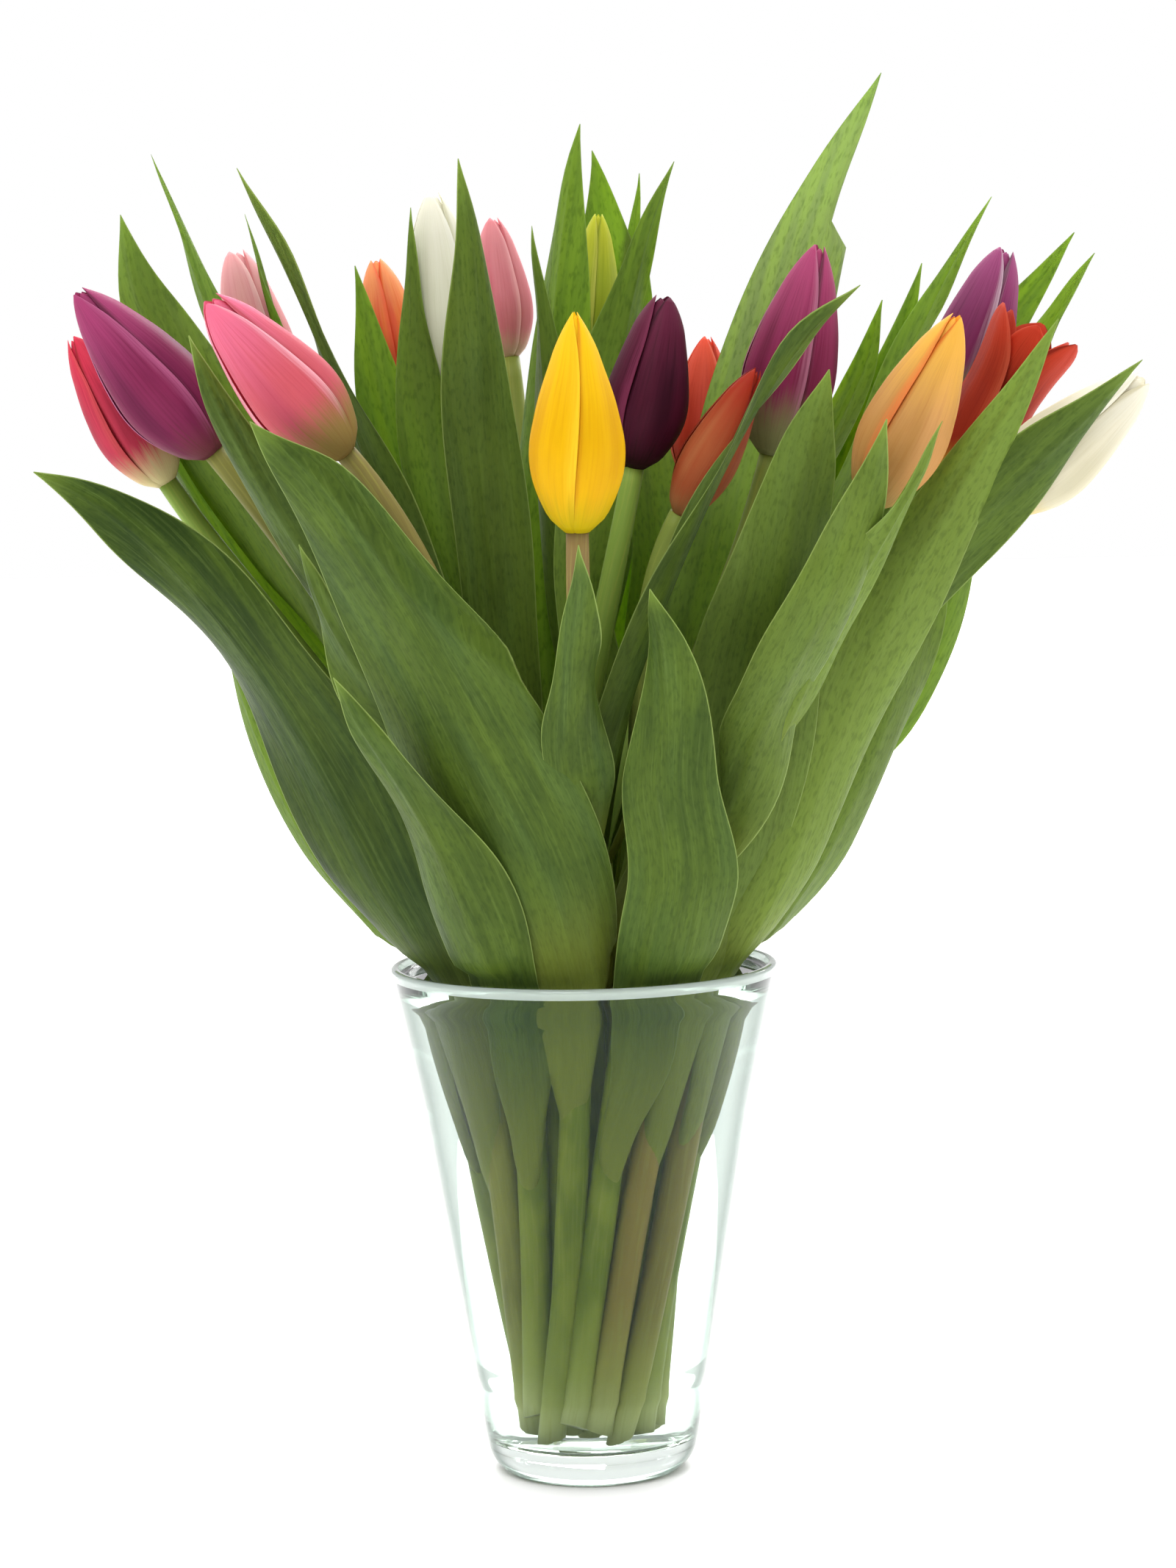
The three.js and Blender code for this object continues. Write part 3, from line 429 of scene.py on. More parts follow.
def keepToRoom(point, own):
    if point.z > room["freeFrom"] + 2 * room["freeOver"]:
        return
    centre = axisAt(own["axis"], point.z)
    out = Vector((point.x - centre.x, point.y - centre.y, 0))
    distance = out.length
    if distance < 1e-6:
        return
    out /= distance
    limit = roomAt(own, centre, point.z, out)
    start = room["pressed"]
    if distance < start * limit:
        return
    kept = limit * (start + (1 - start) * math.tanh((distance / limit - start) / (1 - start)))
    point.x = centre.x + out.x * kept
    point.y = centre.y + out.y * kept


# In the water the bunch stands closer together than the solids, and the leaves lean out over the rim.
inVase = dict(stems=0.9, leaves=0.7, leavesAbove=1.3, low=150, rim=172, free=200, soft=0.6, thicker=1.1)


def gathered(point, isLeaf=False):
    low, free = inVase["low"], inVase["free"]
    share = inVase["stems"] + (1 - inVase["stems"]) * smooth((point.z - low) / (free - low))
    point.x *= share
    point.y *= share
    if isLeaf and point.z < inVase["rim"]:
        opening = smooth((point.z - low) / (inVase["rim"] - low))
        reach = inVase["leaves"] + (inVase["leavesAbove"] - inVase["leaves"]) * opening
        most = (wallRadius(point.z) - vase["wall"]) * reach
        radius, soft = math.hypot(point.x, point.y), inVase["soft"]
        if radius > soft * most:
            kept = most * (soft + (1 - soft) * math.tanh((radius / most - soft) / (1 - soft)))
            point.x *= kept / radius
            point.y *= kept / radius
    return point


leafLook = dict(
    rows=56, columns=22,
    clasp=4.3,  # radius of the sheath round its stem
    crease=0.9,  # depth of the fold along the middle
    ripple=1.5, ripples=2.7,  # waves along the edges, on top of the large ones
    swell=1.3,  # how far the whole blade waves in and out on its way up
    sway=1.8,  # and to its sides
    uneven=0.06,  # how far its two edges wander, as a share of its width
    twist=24,  # degrees that it turns to and fro
    glow=(0.1, 0.52), warm=(0.1, 0.8),  # light that comes through it, and a lighter yellow green over its green, front and back: partly the leaf's own yellow, partly painted light on the leaves further back
)
# A leaf may add: trim, the shares kept of its left and right half; pleat, between which places its right
# half folds in behind a crease, and how deep; torn, where its right half ends; glow of its own, and its own
# share of the lighter yellow green, partly painted light (below nought, a darker green instead).
pleatLook = dict(
    start=1.02, inwards=0.62, over=0.28,  # the crease starts at the leaf's edge and runs inwards
    appears=0.08, fades=0.1,
    ridge=1.3, ridgeWidth=0.1, slopeWidth=0.16,
)
# A stem or leaf may also add aside: how far it stands off its packed place, and between which heights.
asideLook = dict(rise=35, fall=40)


def liveliness(leaf, s):  # what a blade does on top of its plain form, at s along it
    turn, calm = 2 * math.pi, smooth((s - 0.22) / 0.3) * smooth((1 - s) / 0.12)
    at = leaf["phase"]
    twist = math.radians(leafLook["twist"]) * math.sin(turn * (0.75 * s + 3.7 * at)) * smooth((s - 0.3) / 0.4)
    swell = leafLook["swell"] * calm * math.sin(turn * (1.25 * s + 2.9 * at))
    sway = leafLook["sway"] * calm * math.sin(turn * (0.95 * s + 5.3 * at))
    edges = []
    for n, trim in zip((7.1, 4.3), leaf.get("trim", (1, 1))):
        wander = math.sin(turn * (1.7 * s + n * at)) + 0.5 * math.sin(turn * (3.3 * s + 2 * n * at))
        kept = 1 - (1 - trim) * smooth((s - 0.05) / 0.2)
        edges.append(kept * (1 + leafLook["uneven"] * calm * wander))
    return twist, swell, sway, edges


def aside(item, point):
    x, y, low, high = item.get("aside", (0, 0, 0, 1))
    share = smooth((point.z - low) / asideLook["rise"]) * smooth((high - point.z) / asideLook["fall"])
    point.x += x * share
    point.y += y * share
    return point


def pleated(leaf, s, c):  # how far a point is lifted beside the crease
    low, high, depth = leaf["pleat"]
    crease = pleatLook["start"] - pleatLook["inwards"] * smooth((s - low) / pleatLook["over"])
    fade = smooth((s - low) / pleatLook["appears"]) * smooth((high - s) / pleatLook["fades"])
    ridge = pleatLook["ridge"] * math.exp(-((c - crease) / pleatLook["ridgeWidth"]) ** 2)
    return fade * (ridge - depth * smooth((c - crease) / pleatLook["slopeWidth"]))


def widthShare(s, belly):
    rise = blade["baseShare"] + (1 - blade["baseShare"]) * math.sin(math.pi / 2 * min(1, s / belly))
    return rise * (1 if s < belly else 1 - ((s - belly) / (1 - belly)) ** blade["taper"])


def leafSpine(leaf, bend, own):
    root = axisAt(own["axis"], leaf["root"]) + heading(leaf["side"]) * blade["rootRadius"]
    tip = Vector(leaf["tip"])
    tip.y += bend["tipShift"]
    first = axisAt(own["axis"], leaf["root"] + blade["standAt"] * (tip.z - leaf["root"]))
    first += heading(leaf["side"]) * leaf.get("stand", blade["stand"])
    second = tip - Vector(leaf["reach"])
    first.y += bend["bellyShift"] * 0.5
    second.y += bend["bellyShift"]
    return root, first, second, tip


def rowPlaces(spine, steps):  # even, but one row of a leaf that starts in the vase lies level with the rim
    places = [k / steps for k in range(steps + 1)]
    if spine[0].z > vase["height"]:
        return places
    low, high = 0, 1
    for _ in range(24):
        middle = (low + high) / 2
        if bezier(spine, middle).z < vase["height"] + blade["overRim"]:
            low = middle
        else:
            high = middle
    atRim = max(1, math.floor(low * steps + 0.5)) / steps
    return [s * low / atRim if s <= atRim else 1 - (1 - s) * (1 - low) / (1 - atRim) for s in places]


def leafRow(leaf, bend, own, spine, s, across, fine=False):  # points across a leaf at s along it
    p = bezier(spine, s)
    run = (bezier(spine, min(1, s + 1e-4)) - bezier(spine, max(0, s - 1e-4))).normalized()
    swing = (leaf["face"] + bend["turn"] - leaf["side"] + 540) % 360 - 180
    back = heading(leaf["side"] + swing * smooth(s / blade["turns"]))
    back = (back - run * back.dot(run)).normalized()
    side = run.cross(back)
    opening = smooth(s / (blade["opensFreely"] if "stand" in leaf else blade["opens"]))
    closing = smooth((s - blade["flattens"]) / (1 - blade["flattens"]))
    sheath, tipFold = blade["sheath"], blade["tipFold"]
    fold = math.radians(sheath + (leaf["fold"] - sheath) * opening + (tipFold - leaf["fold"]) * closing)
    fullWidth = leaf["width"] * bend["narrow"] * widthShare(s, leaf.get("belly", blade["belly"]))
    clasp, tipWidth = blade["rootRadius"], blade["tipWidth"]
    if fine:  # the sheath comes out of the stem and clasps it, and the tip is drawn to a point
        clasp += (leafLook["clasp"] - clasp) * smooth(s / 0.07)
        p += back * ((clasp - blade["rootRadius"]) * (1 - smooth((s - 0.08) / 0.25)))
        tipWidth = 0.35
        twist, swell, sway, edges = liveliness(leaf, s)
        p += back * swell + side * sway
        level, tilt = math.cos(twist), math.sin(twist)
        back, side = back * level + side * tilt, side * level - back * tilt
    rootWidth = 2 * math.radians(sheath) * clasp
    width = max(rootWidth + (fullWidth - rootWidth) * smooth(s / blade["widens"]), tipWidth)
    radius = width / (2 * fold)
    row = []
    for c in across:
        torn = "torn" in leaf and c > 0 and s > leaf["torn"]
        angle = fold * c * (blade["tornShare"] if torn else 1)
        wave = blade["wave"] * c * abs(c) * smooth(s / 0.4) * smooth((1 - s) / 0.2)
        lift = wave * math.sin(2 * math.pi * (blade["waves"] * s + leaf["phase"] + blade["waveShift"] * c))
        if fine:
            calm = smooth(s / 0.3) * smooth((1 - s) / 0.15)
            angle *= edges[c > 0]
            ripple = math.sin(2 * math.pi * (leafLook["ripples"] * s + 3 * leaf["phase"] + 0.31 * c))
            lift += leafLook["ripple"] * abs(c) ** 2.5 * ripple * calm
            lift += leafLook["crease"] * math.exp(-(c / 0.13) ** 2) * calm
            if "pleat" in leaf:
                lift += pleated(leaf, s, c)
        q = p + back * (lift - radius * (1 - math.cos(angle))) + side * (radius * math.sin(angle))
        keepToRoom(q, own)
        row.append(gathered(aside(leaf, q), True) if fine else q)
    return row, width


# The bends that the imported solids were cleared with, gentlest first.
bends = [
    dict(tipShift=tipShift, bellyShift=bellyShift, turn=turn, narrow=narrow)
    for tipShift in (0, -8, 8, -16, 16, -26, 26)
    for bellyShift in (0, -7, 7, -14, 14, -22, 22, -32, 32)
    for turn in (0, -22, 22, -45, 45)
    for narrow in (1, 0.82, 0.66)
]
matching = dict(tip=1.2, corner=0.1, enough=0.7)  # how near a bend's points lie to the solid's, and how many


def effort(bend):
    shifts = abs(bend["tipShift"]) / 8 + abs(bend["bellyShift"]) / 7
    return shifts + abs(bend["turn"]) / 18 + (1 - bend["narrow"]) * 9


bends.sort(key=effort)


def bendOf(leaf, own, corners):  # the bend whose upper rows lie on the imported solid's own corners
    count = blade["across"] - (1 if leaf["width"] < blade["slim"] else 0)
    across = [-1 + 2 * n / count for n in range(count + 1)]
    steps = blade["steps"]
    best, bestShare = bends[0], 0
    for bend in bends:
        spine = leafSpine(leaf, bend, own)
        if corners.find(spine[3])[2] > matching["tip"]:
            continue
        places = rowPlaces(spine, steps)
        rows = [leafRow(leaf, bend, own, spine, s, across)[0] for s in places[3:]]
        found = tried = 0
        for k in range(1, len(rows)):
            for n in range(count + 1):
                run = rows[min(k + 1, len(rows) - 1)][n] - rows[k - 1][n]
                cross = rows[k][min(n + 1, count)] - rows[k][max(n - 1, 0)]
                normal = run.cross(cross).normalized() * (blade["thickness"] / 2)
                for point in (rows[k][n] + normal, rows[k][n] - normal):
                    tried += 1
                    found += corners.find(point)[2] < matching["corner"]
        if found / tried > bestShare:
            best, bestShare = bend, found / tried
        if bestShare > matching["enough"]:
            break
    return best, bestShare


def cornersOf(node):
    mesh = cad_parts[node].data
    tree = KDTree(len(mesh.vertices))
    for n, vertex in enumerate(mesh.vertices):
        tree.insert(vertex.co / mm, n)
    tree.balance()
    return tree


def addLeaf(shape, leaf, own, number):
    spine = leafSpine(leaf, leaf["bend"], own)
    count, columns = leafLook["rows"], leafLook["columns"]
    across = [math.sin(math.pi / 2 * (-1 + 2 * n / columns)) for n in range(columns + 1)]
    places = rowPlaces(spine, count)
    rows, widths = [], []
    for s in places:
        row, width = leafRow(leaf, leaf["bend"], own, spine, s, across, fine=True)
        rows.append(row)
        widths.append(width)
    length = (spine[3] - spine[0]).length
    # the further back a leaf stands, the more of the lighter yellow green it gets: partly its own yellow,
    # partly painted light
    depth = smooth((leaf["tip"][1] + 60) / 110)
    (frontGlow, backGlow), (frontWarmAndLit, backWarmAndLit) = leafLook["glow"], leafLook["warm"]
    warm = leaf.get("warm", frontWarmAndLit + (backWarmAndLit - frontWarmAndLit) * depth)
    shape.own = (warm, leaf.get("glow", frontGlow + (backGlow - frontGlow) * depth), leaf.get("torn", 2))

    def half(k, n):
        return blade["thickness"] / 2 * (1 - across[n] ** 4) * min(1, widths[k] / 4)

    def place(k, n):
        return across[n] * widths[k] / 2, places[k] * length, number

    def look(k, n):  # millimetres from the edge, share of the length
        return (1 - abs(across[n])) * widths[k] / 2, places[k], 0

    shape.sheet(rows, half, place, look)


# warm: the lighter yellow green of leaves further back, partly their own yellow and partly painted light
leafTints = dict(
    shade="283c0a", light="445814", wax="405a30", deep="2b4410", dark="1a2c04", warm="88a046", torn="ccd4a2",
    bands="7c9a36", veins="86a050", grain="1c2e08", base="94983a", tip="8aa444", margin="9cb060",
    # of the light that comes through a leaf
    through="86a818", throughBands="a8c42c", throughGrain="5c8410",
)


def layered(paint, layers, tints):  # each layer covers a share of the ones before it with its tint
    for cover, name in layers:
        paint = cover.blend(paint, colour(tints[name]))
    return paint


def leafMaterial():
    material, board = startMaterial("leaf_green")
    place, look, nature = board.attribute("place"), board.attribute("look"), board.attribute("nature")
    across, length, number = place.axis("X"), place.axis("Y"), place.axis("Z")
    margin, share = look.axis("X"), look.axis("Y")
    warm, glows, torn = nature.axis("X"), nature.axis("Y"), nature.axis("Z")
    veins = board.noise(board.vector(across * 1.0, length * 0.02, number * 7.3), 1.5, 3, 0.6)
    bands = board.noise(board.vector(across * 0.3, length * 0.012, number * 4.9), 1.0, 2, 0.6)
    grain = board.noise(board.vector(across * 1.1, length * 0.3, number * 3.1), 1.0, 2, 0.5)
    clouds = board.noise(board.vector(across * 0.06, length * 0.022, number * 5.7), 1.0, 3, 0.55)
    wax = board.noise(board.vector(across * 0.09, length * 0.014, number * 2.9), 1.0, 2, 0.5)
    tone = board.noise(board.vector(number * 1.37, 0.5, 0.5), 1.0, 0)
    isTorn = board.maths("LESS_THAN", torn, 1)
    warm = warm + isTorn * across.ramp(-1, 1) * 0.5
    # the warm layer paints a lighter yellow green, partly the leaf's own yellow and partly painted light;
    # below nought the dark layer darkens the leaf instead
    green = layered(colour(leafTints["shade"]), [
        (clouds.ramp(0.36, 0.64), "light"),
        (wax.ramp(0.44, 0.66) * 0.4, "wax"),
        (tone.ramp(0.4, 0.6) * 0.3, "deep"),
        (0 - warm, "dark"),
        (warm * 0.85, "warm"),
        (isTorn * share.ramp(0.3, 0.75) * 0.65, "torn"),
        (bands.ramp(0.4, 0.66) * 0.1, "bands"),
        (veins.ramp(0.48, 0.72) * 0.14, "veins"),
        (grain.ramp(0.46, 0.7) * 0.28, "grain"),
        ((1 - share.ramp(0.02, 0.34)) * 0.85, "base"),
        (share.ramp(0.93, 1.0) * 0.4, "tip"),
        ((1 - margin.ramp(0.1, 0.5)) * 0.6, "margin"),
    ], leafTints)
    relief = veins * 0.5 + bands * 0.5 + grain * 0.5
    skin = board.node("BsdfPrincipled", {}, {
        "Base Color": green,
        "Roughness": 0.4 + grain * 0.2,
        "Specular IOR Level": 0.13,
        "Normal": board.node("Bump", {}, {"Strength": 0.5, "Distance": 0.0005, "Height": relief}),
    })
    through = layered(colour(leafTints["through"]), [
        (bands.ramp(0.35, 0.65), "throughBands"),
        (grain.ramp(0.5, 0.7) * 0.35, "throughGrain"),
    ], leafTints)
    glow = board.node("BsdfTranslucent", {}, {"Color": through})
    both = board.node("MixShader", {}, {0: glows, 1: skin, 2: glow})
    board.node("OutputMaterial", {}, {"Surface": both})
    return material


stemLook = dict(
    sides=20, lowSteps=14, highSteps=26,
    slant=0.4,  # of the cut
    sway=1.6,  # how far the part in the vase bows to one side
    uneven=0.02,  # how much its thickness wanders
    # share of reddish brown in the stem's colour, and the least of it
    brown=dict(yellow=0.9, pink=0.75, purple=0.6, slim_red=0.3, magenta=0.3, rose=0.4, violet=0.4),
    least=0.08,
    tan=dict(apricot=0.8, cream=0.6, magenta=0.5, purple=0.3),  # share of tan in its part under water
)
stemTints = dict(
    shade="6f7e1e", light="8a9430", upper="7b9a40", brown="7e603e", tan="9c7c40", foot="bcc468", end="dce0a4",
    streaks="a7a850", cut="e2e4b4",
)


def addStem(shape, tulip, name, number):
    cut, _, upper = stemCurve(tulip, number)
    low, high = stemLook["lowSteps"], stemLook["highSteps"]
    sway = heading(137 * number) * stemLook["sway"]
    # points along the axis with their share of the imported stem's corners
    points = []
    for k in range(low):
        share = k / low
        points.append((cut.lerp(upper[0], share) + sway * math.sin(math.pi * share), share / 3))
    points += [(bezier(upper, k / high), (2 + 4 * k / high) / 6) for k in range(high + 1)]
    points = [(gathered(aside(tulip, p)), share) for p, share in points]
    foot = points[0][0]
    brown, tan = stemLook["brown"].get(name, stemLook["least"]), stemLook["tan"].get(name, 0)
    slope = heading(360 * (0.618 * number % 1))
    rings, travelled = [], 0
    side = Vector((1, 0, 0))
    for k, (p, share) in enumerate(points):
        after, before = points[min(k + 1, len(points) - 1)][0], points[max(k - 1, 0)][0]
        run = (after - before).normalized()
        side = (side - run * side.dot(run)).normalized()
        depth = run.cross(side)
        travelled += (p - before).length if k else 0
        radius = curve(stem["radii"], share)
        radius *= 1 + stemLook["uneven"] * math.sin(travelled * 0.09 + number * 2.1)
        radius *= 1 + (inVase["thicker"] - 1) * (1 - smooth((p.z - inVase["low"]) / 60))
        ring = []
        for n in range(stemLook["sides"]):
            angle = 2 * math.pi * n / stemLook["sides"]
            corner = p + (side * math.cos(angle) + depth * math.sin(angle)) * radius
            if k == 0:  # a slanting cut
                corner.z = p.z + (radius + (corner - p).dot(slope)) * stemLook["slant"]
            ring.append(shape.corner(corner, (angle * radius, travelled, number), (share, brown, tan)))
        rings.append(ring)
    for lower, higher in zip(rings, rings[1:]):
        shape.bridge(lower, higher, 1)
    middle = foot + Vector((0, 0, stem["radii"][0][1] * stemLook["slant"] + 0.5))
    shape.cap(rings[0], shape.corner(middle, (0, -3, number), (0, brown, tan)), 1)
    shape.cap(rings[-1], shape.corner(upper[3], (0, travelled, number), (1, brown, tan)), 1)


def stemMaterial():
    material, board = startMaterial("stem_green")
    place, look = board.attribute("place"), board.attribute("look")
    round_, length, number = place.axis("X"), place.axis("Y"), place.axis("Z")
    share, brown, tan = look.axis("X"), look.axis("Y"), look.axis("Z")
    streaks = board.noise(board.vector(round_ * 0.9, length * 0.03, number * 3.7), 1.2, 3, 0.6)
    clouds = board.noise(board.vector(round_ * 0.1, length * 0.03, number * 2.3), 1.0, 2)
    green = layered(colour(stemTints["shade"]), [
        (clouds.ramp(0.38, 0.62), "light"),
        (share.ramp(0.3, 0.5), "upper"),
        (brown * (share + streaks * 0.3).ramp(0.45, 0.8), "brown"),
        (tan * (1 - share.ramp(0.2, 0.4)), "tan"),
        ((1 - share.ramp(0.01, 0.12)) * 0.7, "foot"),
        ((1 - share.ramp(0.0, 0.05)) * 0.7, "end"),
        (streaks.ramp(0.45, 0.75) * 0.35, "streaks"),
        ((1 - length.ramp(-1.5, 0.8)) * 0.9, "cut"),
    ], stemTints)
    skin = board.node("BsdfPrincipled", {}, {
        "Base Color": green,
        "Roughness": 0.4 + streaks * 0.15,
        "Specular IOR Level": 0.12,
        "Normal": board.node("Bump", {}, {"Strength": 0.25, "Distance": 0.0003, "Height": streaks}),
    })
    board.node("OutputMaterial", {}, {"Surface": skin})
    return material


leafGreen, stemGreen = leafMaterial(), stemMaterial()
phase = 0
leafNumber = 0
for number, (name, tulip) in enumerate(tulips.items()):
    corners = cornersOf("leafy_stem_" + name)
    shape = Shape()
    shares = []
    for leaf in tulip["leaves"]:
        phase = (phase + 0.618) % 1
        leaf["phase"] = phase
        leaf["bend"], matched = bendOf(leaf, tulip, corners)
        shares.append(round(matched, 2))
        addLeaf(shape, leaf, tulip, leafNumber)
        leafNumber += 1
    addStem(shape, tulip, name, number)
    shape.piece("tulip_leaves_" + name, [leafGreen, stemGreen], "leaf_and_stem", "leafy_stem_" + name)
    print("leafy stem", name, shares)


budLook = dict(
    rows=34, columns=20, thickness=0.7, spread=65, size=0.965,
    outline=[(0, 0.26), (0.08, 0.64), (0.3, 1), (0.56, 0.93), (0.8, 0.6), (0.92, 0.33), (1, 0.11)],
    # what a slim bud has less than that
    slimmer=[(0, 0), (0.38, 0), (0.54, 0.06), (0.74, 0.1), (0.88, 0.08), (0.94, 0.07), (1, 0.06)],
    narrows=[(0, 1), (0.6, 1), (0.78, 0.98), (0.9, 0.86), (0.96, 0.64), (0.99, 0.4), (1, 0.12)],
    # how a petal's section departs from a circle, from the edge that tucks under to the one that laps over
    section=[(-1, -0.12), (-0.8, -0.06), (-0.45, 0), (0, 0.01), (0.45, 0.035), (0.88, 0.045), (1, 0.01)],
    furrow=0.022,
    innerSize=0.84, innerTop=0.985, innerFrom=0.3, innerPart=0.6, innerLap=0.4,
    slim=0.4, footAt=0.08,  # where a bloom has none of its own
)
openLook = dict(
    outline=[(0, 0.26), (0.06, 0.55), (0.18, 0.82), (0.38, 1), (0.6, 1.02), (0.8, 0.98), (1, 1.02)],
    narrows=[(0, 1), (0.5, 0.94), (0.72, 0.8), (0.86, 0.56), (0.95, 0.3), (1, 0.05)],
)
# seam: azimuth of a seam between outer petals at the foot, twist: how far it turns on the way up,
# part: how far the tips stand apart, colours: of the foot, the body, the tip, the petals' edges and a
# streak up their middle (a tip lighter than the body is partly painted light from above and behind, a
# foot darker than the body partly painted shade), footAt: how far up the foot's colour reaches, slim: how
# much of slimmer a bud has
blooms = {
    "yellow": dict(seam=258, twist=22, part=0, slim=1, size=0.93,
                   colours="c8b408 f0c404 fbd61a fcdc34 e2ac02"),
    "slim_red": dict(seam=285, twist=12, part=0.05, colours="c08a58 b8532f b92f1e 8f2418 c87a4c"),
    "purple": dict(seam=300, twist=-6, part=0.06, colours="8a4a50 93305c bb4c80 c86a98 74204a"),
    "pink": dict(seam=318, twist=-8, part=0.12, footAt=0.22, colours="a88e50 dc6672 f180a2 f9c4d0 d05a70"),
    "apricot": dict(seam=228, twist=16, part=0.04, colours="a08a48 d09c58 f8c850 ee8444 e0ac6c"),
    "cream": dict(seam=250, twist=8, part=0.14, footAt=0.1, colours="e8cf52 ebe5cd f4f1e4 faf8ee d8d2b6"),
    "crimson": dict(seam=236, twist=10, part=0.04, footAt=0.14, colours="e4d8a0 d8445e e23e5a ea6468 a2243e"),
    "dark_purple": dict(seam=232, twist=14, part=0.12, colours="3a1a20 581a33 762a48 8e3a5c 3a1024"),
    "magenta": dict(seam=286, twist=0, part=0.04, footAt=0.2, colours="9a9a68 9c3560 c25282 cc86a4 72203f"),
    "white_tall": dict(seam=300, twist=6, part=0.08, colours="c6c892 f1f1de f6f4e7 fbfaf2 dfdec6"),
    "red_centre": dict(seam=300, twist=6, part=0.05, colours="d8844a d04632 f3654a f58468 bf3824"),
    "mauve": dict(seam=276, twist=8, part=0.12, footAt=0.22, colours="a8b47a 8c3266 b4588c e6d0dc 702650"),
    "open_red": dict(seam=262, twist=0, part=0.3, footAt=0.12, colours="e0b23a bc3e26 cf4a30 d86448 9c2a1c"),
    "blush": dict(seam=290, twist=8, part=0.18, colours="e6c9a4 e8a8a2 f1bcbe f9d8d4 dc8690"),
    "flame": dict(seam=268, twist=4, part=0.1, colours="c8a868 e25a40 fbb478 ea644a f2a040"),
    "lime": dict(seam=266, twist=4, part=0.08, colours="97b14a bcc83a d5d73c e2e270 a4b434"),
    "rose": dict(seam=300, twist=6, part=0.1, colours="d8c0a4 e5949e eda2a8 f6c0c4 d87888"),
    "coral": dict(seam=250, twist=8, part=0.06, colours="e8a86a e2566c ea6a7c f090a0 c84058"),
    "gold": dict(seam=250, twist=10, part=0.05, colours="dccb58 f0b81a f8d04a fbe070 dc9c10"),
    "violet": dict(seam=262, twist=8, part=0.06, colours="b89ab0 7c3060 a05488 b47aa4 602450"),
}


def addPetal(shape, tulip, look, petal, number):
    length, diameter = tulip["bud"]
    size, top, middle, start = petal["size"], petal["top"], petal["middle"], petal["start"]
    isOpen = "open" in tulip
    form = openLook if isOpen else budLook
    parting, lapping = (budLook["innerPart"], budLook["innerLap"]) if petal["inner"] else (1, 1)
    count, columns = budLook["rows"], budLook["columns"]
    across = [math.sin(math.pi / 2 * (-1 + 2 * n / columns)) for n in range(columns + 1)]
    places = [start + (1 - start) * k / count for k in range(count + 1)]
    wobble = 2 * math.pi * (0.618 * number % 1)
    rows = []
    for t in places:
        girth = curve(form["outline"], t)
        if not isOpen:
            girth -= look.get("slim", budLook["slim"]) * curve(budLook["slimmer"], t)
        radius = diameter / 2 * size * look.get("size", budLook["size"]) * girth
        radius += diameter / 2 * look["part"] * smooth((t - 0.55) / 0.45) * parting
        spread = math.radians(budLook["spread"]) * curve(form["narrows"], t)
        lively = math.sin(math.pi * clamp(t)) ** 0.6
        row = []
        for u in across:
            section = 1 + lively * along(budLook["section"], u) * lapping
            section -= budLook["furrow"] * lively * math.exp(-(u / 0.14) ** 2)
            section += 0.012 * abs(u) ** 3 * math.sin(8 * t + wobble) * lively
            azimuth = math.radians(middle + look["twist"] * t) + spread * u
            out = Vector((math.cos(azimuth), math.sin(azimuth), 0)) * (radius * section)
            out.z = length * top * t
            row.append(out)
        rows.append(row)

    def half(k, n):
        return budLook["thickness"] / 2 * (1 - across[n] ** 6) * min(1, 0.25 + 8 * (1 - places[k]))

    def place(k, n):
        return across[n], places[k], number

    def kind(k, n):  # 1 on inner petals
        return float(petal["inner"]), 0, 0

    axis = bloomAxis(tulip)
    turn = Vector((0, 0, 1)).rotation_difference(axis).to_matrix()
    foot = Vector(tulip["head"]) - axis * (length / 2)
    rows = [[foot + turn @ point for point in row] for row in rows]
    shape.sheet(rows, half, place, kind)


